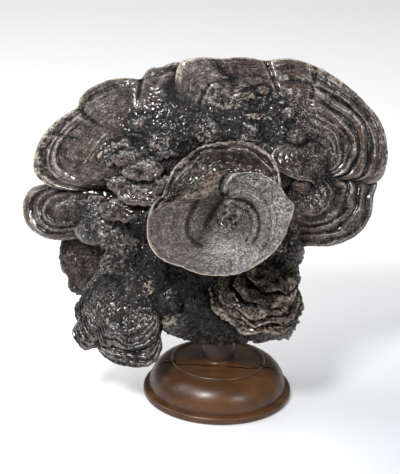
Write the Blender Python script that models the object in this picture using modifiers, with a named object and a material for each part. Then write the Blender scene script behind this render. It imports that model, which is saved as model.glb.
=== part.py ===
"""Bracket fungus on a turned wooden stand.

One dried specimen, grown as a single piece: broad fans above, smaller brackets and lobes at
their sides, a bowl and a disc in front, and thin old plates below. It rests on a turned stand.

Metres, +Z up. The origin is the centre of the stand's foot, on the surface that it stands on.
The face of the specimen looks towards -Y, and its left is -X.
"""
from math import atan2, cos, degrees, pi, radians, sin

import bmesh
import bpy
from mathutils import Matrix, Vector

MM = 0.001
MERGE = 0.00005
CLEARANCE = 0.0003

# Stand, a turning about the Z axis.
FOOT_RADIUS = 0.080
FOOT_EDGE_ROUND = 0.002
FOOT_ARRIS = 0.001
FOOT_BAND_HEIGHT = 0.0075
GROOVE_RADIUS = 0.0738
GROOVE_HEIGHT = 0.0082
SHOULDER_TOP_RADIUS = 0.0505
SHOULDER_TOP_HEIGHT = 0.0362
BEAD_RADIUS = 0.0018
BEAD_INNER_WIDTH = 0.0040
DECK_OUTER_HEIGHT = 0.0375
DECK_INNER_HEIGHT = 0.0412
NECK_FLARE_RADIUS = 0.0240
NECK_RADIUS = 0.0180
NECK_TOP = 0.0640
TENON_RADIUS = 0.0070
TENON_TOP = 0.0900
SOCKET_OVERCUT = 0.0100
TURNING_STEPS = 36

# Specimen frame: right, up and out of the face, from its heart. The face leans back.
LEAN = 20.0
HEART = Vector((0.0, 0.010, 0.200))
SPECIMEN = Matrix.Translation(HEART) @ Matrix.Rotation(radians(90.0 - LEAN), 4, "X")

# Growth ridges, as pairs of share of the reach and rise in millimetres.
BROAD_RIDGES = ((0.30, 2.0), (0.41, -1.8), (0.54, 3.0), (0.65, -2.2), (0.78, 3.0), (0.87, -2.0), (0.955, 0.6))
SMALL_RIDGES = ((0.32, 1.2), (0.54, 2.4), (0.66, -1.8), (0.82, 2.0), (0.95, -0.4))
DISC_RIDGES = ((0.16, -1.0), (0.28, 2.4), (0.41, -1.2), (0.56, 1.4), (0.95, 0.4))
PLAIN_RIDGES = ((0.45, 0.6), (0.94, 0.0))
UNDERSIDE_RINGS = (0.95, 0.50)

# Back of the specimen, where it was sawn from the trunk.
SCAR_CENTRE = (-4.0, 4.0, -58.0)
SCAR_SIZE = 0.230
SCAR_DEPTH = 0.060

# Foot of the specimen, where it bears on the neck of the stand.
BEARING_RADII = (0.050, 0.034, 0.028)
BEARING_CENTRE = (0.0, 0.002, 0.082)
BEARING_RECESS_RADIUS = 0.060


def clear_scene():
    """Remove every object of the open scene."""
    for item in list(bpy.data.objects):
        bpy.data.objects.remove(item, do_unlink=True)


def new_collection(name):
    """A collection linked to the scene."""
    group = bpy.data.collections.new(name)
    bpy.context.scene.collection.children.link(group)
    return group


def new_material(name, colour, roughness, metallic=0.0):
    """A Principled material."""
    made = bpy.data.materials.new(name)
    made.use_nodes = True
    surface = made.node_tree.nodes["Principled BSDF"]
    surface.inputs["Base Color"].default_value = (*colour, 1.0)
    surface.inputs["Roughness"].default_value = roughness
    surface.inputs["Metallic"].default_value = metallic
    return made


def add_object(name, mesh, group):
    """An object with the mesh, in the collection."""
    made = bpy.data.objects.new(name, mesh)
    group.objects.link(made)
    return made


def as_guide(item):
    """Show a cutter or a grown shape as a wire, and leave it out of renders."""
    item.hide_render = True
    item.display_type = "WIRE"
    return item


def boolean(item, other, operation):
    """Let one object join or cut another."""
    change = item.modifiers.new(other.name, "BOOLEAN")
    change.operation = operation
    change.object = other
    change.solver = "EXACT"


def smooth_reach(outline, bearing):
    """Reach of an outline, in millimetres, at a bearing in degrees.

    The outline is a closed ring of (bearing, reach) pairs with rising bearings, and the curve
    through them is a cubic with the slope of its neighbours at each point.
    """
    count = len(outline)
    bearing = bearing % 360.0
    after = 0
    while after < count and outline[after][0] <= bearing:
        after += 1
    ring = []
    for step in (-2, -1, 0, 1):
        turns, place = divmod(after + step, count)
        ring.append((outline[place][0] + 360.0 * turns, outline[place][1]))
    (b0, r0), (b1, r1), (b2, r2), (b3, r3) = ring
    span = b2 - b1
    t = (bearing - b1) / span
    slope_1 = (r2 - r0) / (b2 - b0) * span
    slope_2 = (r3 - r1) / (b3 - b1) * span
    return ((2 * t**3 - 3 * t**2 + 1) * r1 + (t**3 - 2 * t**2 + t) * slope_1
            + (-2 * t**3 + 3 * t**2) * r2 + (t**3 - t**2) * slope_2)


def bracket(name, group, seat, outline, nod=0.0, turn=0.0, crown=10.0, edge=7.0, stem=34.0,
            taper=1.0, drift=(0.0, 0.0), ridges=SMALL_RIDGES, segments=28):
    """One bracket of the specimen, a sphere drawn out to its outline.

    The poles of the sphere lie on the bracket's own axis, so its rings become growth rings. The
    seat is where that axis starts (right, up, out), nod tips the face up and turn tips it to the
    right, in degrees. Crown is how far the middle stands over the margin, edge and stem are the
    thickness at the margin and in the middle, and drift moves the growth centre. Millimetres.
    """
    rings = [(share, crown * (1.0 - share**2) + rise) for share, rise in ridges]
    rings.append((1.0, -0.5 * edge))
    for share in UNDERSIDE_RINGS:
        under = edge + (stem - edge) * (1.0 - share) ** taper
        rings.append((share, crown * (1.0 - share**2) - under))
    mesh = bpy.data.meshes.new(name)
    shape = bmesh.new()
    bands = len(rings) + 1
    bmesh.ops.create_uvsphere(shape, u_segments=segments, v_segments=bands, radius=1.0)
    for vert in shape.verts:
        upright = max(-1.0, min(1.0, vert.co.z))
        ring = round((0.5 - atan2(upright, vert.co.xy.length) / pi) * bands)
        if ring == 0:
            share, height = 0.0, crown + ridges[0][1]
        elif ring == bands:
            share, height = 0.0, crown - stem
        else:
            share, height = rings[ring - 1]
        bearing = atan2(vert.co.y, vert.co.x)
        reach = smooth_reach(outline, degrees(bearing)) * share
        vert.co.x = (drift[0] * (1.0 - share) + reach * cos(bearing)) * MM
        vert.co.y = (drift[1] * (1.0 - share) + reach * sin(bearing)) * MM
        vert.co.z = height * MM
    shape.to_mesh(mesh)
    shape.free()
    made = as_guide(add_object(name, mesh, group))
    tilt = Matrix.Rotation(radians(turn), 4, "Y") @ Matrix.Rotation(radians(-nod), 4, "X")
    made.matrix_world = SPECIMEN @ Matrix.Translation(Vector(seat) * MM) @ tilt
    return made


def lump(name, group, place, radii, segments=8):
    """One knob of crust, an ellipsoid. Place and radii are right, up, out in millimetres."""
    mesh = bpy.data.meshes.new(name)
    shape = bmesh.new()
    bmesh.ops.create_uvsphere(shape, u_segments=segments, v_segments=5, radius=MM)
    bmesh.ops.scale(shape, vec=Vector(radii), verts=shape.verts)
    shape.to_mesh(mesh)
    shape.free()
    made = as_guide(add_object(name, mesh, group))
    made.matrix_world = SPECIMEN @ Matrix.Translation(Vector(place) * MM)
    return made


def fans(group):
    """The broad fans of the crown, the lobes beside them and the plates at the lower left."""
    yield bracket(
        "fan_left", group, seat=(-91, 67, -7), nod=-4, turn=-12, crown=15, edge=8, stem=40,
        ridges=BROAD_RIDGES, segments=44,
        outline=((0, 88), (30, 98), (50, 104), (68, 101), (77, 90), (85, 86), (91, 75), (99, 76), (117, 81),
                 (141, 86), (148, 83), (154, 87), (166, 100), (178, 113), (193, 121), (202, 111), (210, 93),
                 (218, 76), (235, 62), (265, 55), (300, 60), (332, 74)))
    yield bracket(
        "fan_right", group, seat=(51, 72, -5), nod=-2, turn=10, crown=15, edge=8, stem=42,
        ridges=BROAD_RIDGES, segments=44, drift=(16, -6),
        outline=((3, 123), (17, 119), (30, 110), (46, 103), (65, 99), (82, 98), (91, 96), (99, 97), (108, 101),
                 (123, 112), (132, 126), (140, 136), (150, 125), (165, 105), (185, 85), (210, 70), (240, 60),
                 (270, 56), (300, 58), (320, 62), (331, 69), (338, 90), (346, 118), (355, 123)))
    yield bracket(
        "lobe_right", group, seat=(90, 21, -15), nod=4, turn=10, crown=9, edge=7, stem=32,
        segments=32, drift=(0, 8),
        outline=((5, 71), (16, 79), (30, 80), (50, 68), (90, 50), (150, 45), (200, 48), (240, 52), (262, 51),
                 (272, 49), (286, 51), (312, 59), (335, 67), (350, 70)))
    yield bracket(
        "inner_right", group, seat=(85, 71, 13), nod=12, turn=12, crown=1, edge=6, stem=22,
        ridges=PLAIN_RIDGES, segments=24,
        outline=((20, 30), (60, 22), (100, 18), (144, 20), (165, 27), (177, 35), (190, 40), (207, 38), (230, 33),
                 (266, 30), (294, 34), (316, 41), (345, 38)))
    yield bracket(
        "lobe_left", group, seat=(-145, 3, -36), nod=6, turn=-15, crown=12, edge=8, stem=32,
        segments=34,
        outline=((0, 60), (40, 60), (90, 50), (125, 48), (145, 52), (156, 59), (165, 71), (178, 77), (195, 75),
                 (207, 67), (224, 53), (243, 39), (262, 34), (286, 38), (320, 46)))
    yield bracket(
        "plate_left", group, seat=(-114, -54, -45), nod=6, turn=-15, crown=11, edge=7, stem=26,
        ridges=PLAIN_RIDGES, segments=32,
        outline=((0, 70), (40, 65), (80, 60), (120, 62), (150, 66), (179, 68), (192, 62), (201, 58), (210, 63),
                 (220, 59), (232, 51), (280, 50), (320, 60)))
    yield bracket(
        "fan_low", group, seat=(-102, -83, -14), nod=20, turn=-10, crown=8, edge=7, stem=34,
        segments=36,
        outline=((0, 60), (40, 46), (90, 38), (130, 38), (165, 43), (192, 49), (201, 54), (216, 61), (221, 72),
                 (232, 76), (241, 75), (247, 67), (254, 72), (267, 79), (280, 82), (296, 83), (306, 76), (313, 62),
                 (330, 56)))
    yield bracket(
        "fan_low_upper", group, seat=(-101, -82, -1), nod=20, turn=-10, crown=9, edge=6, stem=32,
        segments=28,
        outline=((0, 42), (60, 30), (120, 28), (180, 40), (200, 48), (219, 52), (243, 57), (264, 62), (283, 65),
                 (300, 65), (312, 60), (326, 51)))


def front(group):
    """The bowl and the disc in front, and the thin old plates below them."""
    yield bracket(
        "bowl", group, seat=(-2, 13, 42), nod=20, turn=-4, crown=-13, edge=9, stem=58, taper=1.5,
        segments=36,
        outline=((0, 60), (20, 64), (45, 73), (60, 75), (81, 73), (94, 70), (118, 68), (142, 66), (162, 63),
                 (173, 64), (179, 71), (187, 76), (198, 79), (215, 74), (240, 60), (270, 55), (300, 55), (330, 58)))
    yield bracket(
        "front_disc", group, seat=(-2, -3, 64), nod=26, turn=0, crown=-9, edge=7, stem=46, taper=1.6,
        ridges=DISC_RIDGES, segments=36, drift=(14, 10),
        outline=((1, 69), (16, 77), (27, 73), (40, 72), (57, 68), (66, 65), (74, 58), (81, 50), (88, 36),
                 (105, 33), (125, 33), (140, 38), (153, 50), (163, 62), (176, 74), (189, 76), (202, 78), (216, 73),
                 (232, 65), (249, 61), (272, 59), (299, 59), (325, 61), (345, 65)))
    yield bracket(
        "old_plate_high", group, seat=(43, -67, 27), nod=38, turn=8, crown=-5, edge=4, stem=26, taper=1.3,
        ridges=PLAIN_RIDGES, segments=28,
        outline=((0, 34), (45, 34), (90, 38), (120, 42), (149, 48), (185, 50), (210, 48), (247, 45), (274, 48),
                 (300, 43), (330, 36)))
    yield bracket(
        "old_plate_middle", group, seat=(49, -69, 20), nod=38, turn=8, crown=-4, edge=4, stem=26, taper=1.3,
        ridges=PLAIN_RIDGES, segments=28,
        outline=((10, 26), (45, 28), (90, 32), (135, 36), (170, 40), (196, 42), (212, 38), (246, 37), (262, 39),
                 (290, 46), (308, 44), (323, 40), (338, 34), (348, 27)))
    yield bracket(
        "old_plate_low", group, seat=(43, -75, 10), nod=38, turn=8, crown=-2, edge=5, stem=26, taper=1.3,
        ridges=PLAIN_RIDGES, segments=28,
        outline=((0, 40), (45, 36), (90, 36), (135, 42), (170, 52), (200, 60), (221, 59), (235, 55), (250, 60),
                 (272, 54), (296, 54), (318, 50), (340, 44)))


def ledges(group):
    """Small half-grown brackets and knobs of crust between the large ones."""
    small = ((0, 20), (60, 18), (120, 20), (180, 22), (240, 24), (300, 24))
    places = (("ledge_inner", (-62, 28, 4), 30), ("ledge_middle", (-71, 4, 4), 34),
              ("ledge_outer", (-92, 18, -3), 28), ("ledge_far", (-110, -4, -14), 26))
    for name, seat, nod in places:
        yield bracket(name, group, seat=seat, nod=nod, crown=3, edge=5, stem=24, segments=12,
                      ridges=PLAIN_RIDGES, outline=small)
    yield lump("knob_on_lobe", group, (-148, 2, -24), (11, 9, 10))
    yield lump("bud_left", group, (20, 128, 8), (9, 6, 8))
    yield lump("bud_right", group, (35, 133, 7), (8, 6, 7))
    yield lump("crust_upper_left", group, (-68, 94, 4), (18, 15, 10))
    yield lump("crust_upper_middle", group, (-34, 104, 6), (20, 14, 11))
    yield lump("crust_upper_right", group, (4, 104, 6), (17, 12, 10))
    yield lump("crust_middle", group, (-55, 66, 6), (20, 16, 12))
    yield lump("heel_left", group, (-40, -114, -6), (24, 18, 20))
    yield lump("heel_middle", group, (2, -112, -4), (32, 20, 22))
    yield lump("heel_right", group, (70, -112, -6), (15, 13, 18))
    yield lump("curl_right", group, (77, -86, 2), (9, 17, 10))


def core(group):
    """The thick heart that every bracket grows from."""
    return bracket(
        "core", group, seat=(0, -50, -8), crown=20, edge=30, stem=76, taper=0.8, ridges=PLAIN_RIDGES,
        segments=36,
        outline=((6, 86), (14, 90), (35, 98), (60, 112), (90, 120), (120, 115), (150, 108), (180, 100),
                 (210, 96), (225, 89), (235, 94), (249, 91), (263, 88), (280, 86), (299, 94), (310, 103), (316, 108),
                 (323, 99), (336, 92), (344, 74), (353, 78)))


def bearing_lump(group):
    """The foot of the specimen, above the neck of the stand."""
    mesh = bpy.data.meshes.new("bearing_lump")
    shape = bmesh.new()
    bmesh.ops.create_uvsphere(shape, u_segments=16, v_segments=6, radius=1.0)
    bmesh.ops.scale(shape, vec=Vector(BEARING_RADII), verts=shape.verts)
    shape.to_mesh(mesh)
    shape.free()
    made = as_guide(add_object("bearing_lump", mesh, group))
    made.location = BEARING_CENTRE
    return made


def cylinder(name, group, radius, bottom, top, segments=32):
    """A round cutter on the Z axis."""
    mesh = bpy.data.meshes.new(name)
    shape = bmesh.new()
    bmesh.ops.create_cone(shape, cap_ends=True, segments=segments, radius1=radius, radius2=radius,
                          depth=top - bottom)
    shape.to_mesh(mesh)
    shape.free()
    made = as_guide(add_object(name, mesh, group))
    made.location = (0.0, 0.0, 0.5 * (top + bottom))
    return made


def scar_cutter(group):
    """The block that leaves the sawn flat on the specimen's back."""
    mesh = bpy.data.meshes.new("scar_cutter")
    shape = bmesh.new()
    bmesh.ops.create_cube(shape, size=1.0)
    bmesh.ops.scale(shape, vec=Vector((SCAR_SIZE, SCAR_SIZE, SCAR_DEPTH)), verts=shape.verts)
    bmesh.ops.translate(shape, vec=Vector((0.0, 0.0, -0.5 * SCAR_DEPTH)), verts=shape.verts)
    shape.to_mesh(mesh)
    shape.free()
    made = as_guide(add_object("scar_cutter", mesh, group))
    made.matrix_world = SPECIMEN @ Matrix.Translation(Vector(SCAR_CENTRE) * MM)
    return made


def fungus(parts, tools, material):
    """The whole specimen, one solid."""
    made = core(parts)
    made.name = "fungus"
    made.hide_render = False
    made.display_type = "TEXTURED"
    made.data.materials.append(material)
    for grown in (*fans(tools), *front(tools), *ledges(tools), bearing_lump(tools)):
        boolean(made, grown, "UNION")
    seat_height = NECK_TOP + CLEARANCE
    recess = cylinder("neck_recess", tools, BEARING_RECESS_RADIUS, 0.0, seat_height)
    socket = cylinder("tenon_socket", tools, TENON_RADIUS + CLEARANCE, NECK_TOP - SOCKET_OVERCUT,
                      TENON_TOP + CLEARANCE, segments=24)
    for cutter in (recess, socket, scar_cutter(tools)):
        boolean(made, cutter, "DIFFERENCE")
    made.data.shade_smooth()
    return made


def stand_profile():
    """Half section of the stand as (radius, height), from the tenon's top down the outer side."""
    points = [(0.0, TENON_TOP), (TENON_RADIUS, TENON_TOP), (TENON_RADIUS, NECK_TOP), (NECK_RADIUS, NECK_TOP)]
    flare = NECK_FLARE_RADIUS - NECK_RADIUS
    for step in range(3):
        angle = step / 2 * pi / 2
        points.append((NECK_FLARE_RADIUS - flare * cos(angle), DECK_INNER_HEIGHT + flare * (1.0 - sin(angle))))
    bead_radius = SHOULDER_TOP_RADIUS - BEAD_RADIUS
    points.append((bead_radius - BEAD_INNER_WIDTH, DECK_OUTER_HEIGHT))
    for step in range(4):
        angle = pi - step / 3 * pi
        points.append((bead_radius + BEAD_RADIUS * cos(angle), DECK_OUTER_HEIGHT + BEAD_RADIUS * sin(angle)))
    width = GROOVE_RADIUS - SHOULDER_TOP_RADIUS
    rise = SHOULDER_TOP_HEIGHT - GROOVE_HEIGHT
    for step in range(7):
        angle = pi / 2 * (1.0 - step / 6)
        points.append((SHOULDER_TOP_RADIUS + width * cos(angle), GROOVE_HEIGHT + rise * sin(angle)))
    points.append((FOOT_RADIUS - FOOT_EDGE_ROUND, FOOT_BAND_HEIGHT))
    points.append((FOOT_RADIUS, FOOT_BAND_HEIGHT - FOOT_EDGE_ROUND))
    points.append((FOOT_RADIUS, FOOT_ARRIS))
    points.append((FOOT_RADIUS - FOOT_ARRIS, 0.0))
    points.append((0.0, 0.0))
    return points


def stand(group, material):
    """The turned stand, with the tenon that enters the specimen."""
    mesh = bpy.data.meshes.new("stand")
    points = stand_profile()
    mesh.from_pydata([(radius, 0.0, height) for radius, height in points],
                     [(place, place + 1) for place in range(len(points) - 1)], [])
    made = add_object("stand", mesh, group)
    made.data.materials.append(material)
    turned = made.modifiers.new("turned", "SCREW")
    turned.steps = TURNING_STEPS
    turned.render_steps = TURNING_STEPS
    turned.use_merge_vertices = True
    turned.merge_threshold = MERGE
    turned.use_smooth_shade = True
    return made


def main():
    """Build the object."""
    clear_scene()
    parts = new_collection("bracket_fungus")
    tools = new_collection("bracket_fungus_guides")
    crust = new_material("fungus_crust", (0.075, 0.062, 0.055), 0.38)
    wood = new_material("stand_wood", (0.180, 0.072, 0.028), 0.42)
    fungus(parts, tools, crust)
    stand(parts, wood)


main()
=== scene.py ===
# %% [markdown]
# # A bracket fungus on a turned wooden stand
# The specimen is one dried growth. Its brackets share a heart, and each one spread outwards ring by ring.
# This lesson dresses the plain solids of the frame: every bracket is grown again with its fine ridges,
# the crust gets its knobs, and the stand gets its drying crack. The frame loads first, because all that
# follows is built round its solids.

from math import cos, pi, radians, sin

import bpy
import numpy as np
from mathutils import Matrix, Vector


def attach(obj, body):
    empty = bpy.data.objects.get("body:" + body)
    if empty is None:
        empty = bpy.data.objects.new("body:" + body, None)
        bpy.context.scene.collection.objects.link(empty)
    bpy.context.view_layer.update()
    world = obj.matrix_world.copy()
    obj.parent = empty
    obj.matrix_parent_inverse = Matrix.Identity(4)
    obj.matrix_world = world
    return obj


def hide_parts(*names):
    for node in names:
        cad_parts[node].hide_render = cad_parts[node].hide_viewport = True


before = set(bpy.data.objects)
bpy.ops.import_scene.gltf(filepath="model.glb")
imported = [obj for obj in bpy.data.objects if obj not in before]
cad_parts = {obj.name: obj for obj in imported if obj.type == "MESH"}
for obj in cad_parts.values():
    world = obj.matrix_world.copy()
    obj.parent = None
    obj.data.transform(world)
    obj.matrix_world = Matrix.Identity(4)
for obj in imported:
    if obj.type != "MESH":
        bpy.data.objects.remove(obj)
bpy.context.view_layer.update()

# %% [markdown]
# ## Where the specimen stands
# The face of the specimen leans back by 20 degrees. Its own frame runs right, up and out of the face from
# its heart, so a bracket is placed by three numbers that can be read from the front. All the growth is
# measured in millimetres, and one factor turns it into metres.

# %% The specimen's own frame
MM = 0.001
LEAN = 20.0
HEART = Vector((0.0, 0.010, 0.200))
SPECIMEN = Matrix.Translation(HEART) @ Matrix.Rotation(radians(90.0 - LEAN), 4, "X")
OUT_OF_SPECIMEN = np.array(SPECIMEN.inverted())


def specimen_places(points):
    """World points in metres as right, up and out in millimetres."""
    return (points @ OUT_OF_SPECIMEN[:3, :3].T + OUT_OF_SPECIMEN[:3, 3]) / MM


print("the heart is at", tuple(HEART))

# %% [markdown]
# ## Working by hand, in code
# Operators act on whatever is selected, and the frame's nodes arrive selected. So every step starts by
# selecting one piece alone. The helpers here do that, apply a modifier as the button in the panel would,
# and read, move and paint vertices as arrays, which is quick on fine meshes.

# %% Select one piece, apply a modifier, read and paint its vertices
def pick(piece):
    """Select one piece alone."""
    bpy.ops.object.select_all(action="DESELECT")
    piece.select_set(True)
    bpy.context.view_layer.objects.active = piece


def add_primitive(kind, name, **settings):
    """Add one of the primitive meshes with nothing else selected."""
    bpy.ops.object.select_all(action="DESELECT")
    getattr(bpy.ops.mesh, f"primitive_{kind}_add")(**settings)
    piece = bpy.context.object
    piece.name = name
    return piece


def apply_modifier(piece, kind, **settings):
    """Add a modifier with its settings and apply it."""
    pick(piece)
    step = piece.modifiers.new(kind.lower(), kind)
    for setting, value in settings.items():
        setattr(step, setting, value)
    bpy.ops.object.modifier_apply(modifier=step.name)


def read_points(piece, what="co"):
    """The places, or the normals, of a piece's vertices as an array."""
    flat = np.empty(len(piece.data.vertices) * 3)
    piece.data.vertices.foreach_get(what, flat)
    return flat.reshape(-1, 3)


def write_points(piece, points):
    """Move the vertices of a piece."""
    piece.data.vertices.foreach_set("co", points.ravel())
    piece.data.update()


def paint(piece, name, values):
    """Store one number, or three, on every vertex for the materials to read."""
    if np.isscalar(values):
        values = np.full(len(piece.data.vertices), float(values))
    kind = "FLOAT" if values.ndim == 1 else "FLOAT_VECTOR"
    layer = piece.data.attributes.get(name) or piece.data.attributes.new(name, kind, "POINT")
    layer.data.foreach_set("value" if kind == "FLOAT" else "vector", values.ravel())


def paint_all(piece, **layers):
    """Paint several layers at once."""
    for name, values in layers.items():
        paint(piece, name, values)


def painted(piece, name):
    """What paint stored: one number, or three, for each vertex."""
    layer = piece.data.attributes[name]
    wide = layer.data_type == "FLOAT_VECTOR"
    values = np.empty(len(piece.data.vertices) * (3 if wide else 1))
    layer.data.foreach_get("vector" if wide else "value", values)
    return values.reshape(-1, 3) if wide else values


# %% [markdown]
# ## Soft steps and bearings
# Nothing on a grown thing starts or stops at a line, so every mask has soft ends. A bearing is an angle
# in degrees round the middle of a bracket: 0 points right, 90 up and 180 left on the face.

# %% Soft steps and sectors
SECTOR_SOFTNESS = 14.0


def smooth_step(values, low, high):
    """0 below low, 1 above high and a smooth ramp between them."""
    t = np.clip((values - low) / (high - low), 0.0, 1.0)
    return t * t * (3.0 - 2.0 * t)


def turn_from(bearing, place):
    """Degrees from a place round to each bearing, between -180 and 180."""
    return np.mod(bearing - place + 180.0, 360.0) - 180.0


def sector(bearing, low, high):
    """1 between two bearings and 0 outside them, with soft ends."""
    off = np.abs(turn_from(bearing, 0.5 * (low + high)))
    half = 0.5 * (high - low)
    return 1.0 - smooth_step(off, half - SECTOR_SOFTNESS, half + SECTOR_SOFTNESS)


def in_sectors(bearing, share, sectors, before=0.03, after=0.03):
    """1 in sectors given as (from bearing, to bearing, from share of the reach), and 0 elsewhere."""
    inside = np.zeros_like(share)
    for low, high, start in sectors:
        outer = smooth_step(share, start - before, start + after)
        inside = np.maximum(inside, sector(bearing, low, high) * outer)
    return inside


print("helpers are ready")

# %% [markdown]
# ## How a bracket grows
# A bracket adds a band round its edge each season, so its outline is best given as a reach at each
# bearing, and its rings are the same outline drawn smaller. A few given points are joined by a smooth
# curve. The young rings are rounder than the last one, and seeded waves keep them from looking drawn with
# compasses.

# %% Outline and unevenness
def reach_at(outline, bearing):
    """Reach in millimetres at each bearing in degrees, on a cubic through the outline's points."""
    places = np.array([place for place, _ in outline], dtype=float)
    reaches = np.array([reach for _, reach in outline], dtype=float)
    places = np.concatenate([places - 360.0, places, places + 360.0])
    reaches = np.tile(reaches, 3)
    slopes = np.zeros_like(reaches)
    slopes[1:-1] = (reaches[2:] - reaches[:-2]) / (places[2:] - places[:-2])
    bearing = np.mod(bearing, 360.0)
    low = np.searchsorted(places, bearing, side="right") - 1
    span = places[low + 1] - places[low]
    t = (bearing - places[low]) / span
    leaving = (2 * t**3 - 3 * t**2 + 1) * reaches[low] + (t**3 - 2 * t**2 + t) * slopes[low] * span
    arriving = (-2 * t**3 + 3 * t**2) * reaches[low + 1] + (t**3 - t**2) * slopes[low + 1] * span
    return leaving + arriving


def rounder(outline, bearing, lobes=4):
    """The same outline with only its broad lobes."""
    around = np.arange(360.0)
    spectrum = np.fft.rfft(reach_at(outline, around))
    spectrum[lobes + 1:] = 0.0
    broad = np.fft.irfft(spectrum, 360)
    return np.interp(np.mod(bearing, 360.0), np.append(around, 360.0), np.append(broad, broad[0]))


def waves(bearing, seed, first, count, twisted=0.0):
    """Smooth seeded unevenness round a bracket, mostly between -1 and 1. Twisted waves drift round it."""
    dice = np.random.default_rng(seed)
    total = np.zeros_like(bearing)
    for beat in range(first, first + count):
        phase = dice.uniform(0.0, 2.0 * pi)
        twist = dice.uniform(-5.0, 5.0)
        total += dice.uniform(0.5, 1.0) * np.sin(np.radians(bearing) * beat + phase + twist * twisted)
    return total / np.sqrt(count)


ROUND_OUTLINE = ((0, 10), (120, 10), (240, 10))
print("reach of a round outline at 45 degrees:", reach_at(ROUND_OUTLINE, np.array([45.0])))

# %% [markdown]
# ## A bracket from a sphere
# A UV sphere already has what a bracket needs: a centre, rings round it and a closed underside. Its rings
# from the top down become growth rings, the few below them the rounded lip, and the last ones the pore
# surface. No operator draws a sphere out to a grown outline, so here the vertices are moved in code.
# Only part of a margin stands free. The rest sinks into the neighbours, and the ridges fade there. The
# share of the reach, the crest and the bearing of each vertex are painted on for the materials.

# %% Plan the rings and their ridges
# Ridges are (share of the reach, height in mm, half width in mm). Negative heights are grooves.
YOUNG_RIDGES = ((0.28, 1.0, 2.4), (0.45, 1.2, 2.4), (0.60, 1.4, 2.4), (0.72, 1.6, 2.2), (0.84, 1.6, 2.0),
                (0.93, -0.8, 1.6))
UNDER_PART = 0.15
LIP_PART = 0.08
RING_CROWDING = 0.85
TOP, LIP, UNDERSIDE = 0, 1, 2


def ring_plan(rings, lip):
    """Share of the reach, lip angle and part of every ring of the sphere."""
    under = int(rings * UNDER_PART)
    lips = int(rings * LIP_PART)
    tops = rings - under - lips
    share = [(1.0 - lip) * (step / tops) ** RING_CROWDING for step in range(tops + 1)]
    angle = [pi / 2] * (tops + 1)
    part = [TOP] * (tops + 1)
    for step in range(1, lips):
        turn = pi / 2 - pi * step / lips
        share.append(1.0 - lip + lip * cos(turn))
        angle.append(turn)
        part.append(LIP)
    for step in range(under + 1):
        share.append((1.0 - lip) * (1.0 - step / under))
        angle.append(-pi / 2)
        part.append(UNDERSIDE)
    return np.array(share), np.array(angle), np.array(part)


def ridge_relief(share, bearing, reach, ridges, seed):
    """Height in millimetres of the growth ridges, each one rising and fading round the bracket."""
    relief = np.zeros_like(share)
    for order, (place, height, half_width) in enumerate(ridges):
        off = (share - place) * reach / half_width
        strength = 0.8 + 0.35 * waves(bearing, seed + 100 + order, 2, 7)
        foot = 0.45 * np.exp(-((off - 1.7) / 0.45) ** 2)
        relief += height * strength * (np.exp(-off**2) - foot)
    return relief


print("of 100 rings", int(100 * UNDER_PART), "make the underside and", int(100 * LIP_PART), "the lip")

# %% [markdown]
# ## The settings of a bracket
# One call makes any bracket. Its seat is the middle, as (right, up, out), and nod and turn tip it down
# and sideways in degrees. Crown is the height of its dome, edge the thickness of its lip and stem the
# thickness at its middle, all in millimetres. Drift shifts the young rings. Wander, ragged and ruffle are
# the unevenness of its rings, outline and surface. Free is the stretch of bearings that stands clear, and
# the rest sinks by sink. Clear, combed and bloom are sectors where ridges show, where fine radial grain
# is combed in, and where the crust is pale. Folds are (bearing, spread, depth).

# %% Grow a bracket
HIDDEN_RIDGES = 0.1
COMBED_AWAY = 0.65
YOUNG_ROUNDNESS = 2.5


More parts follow.
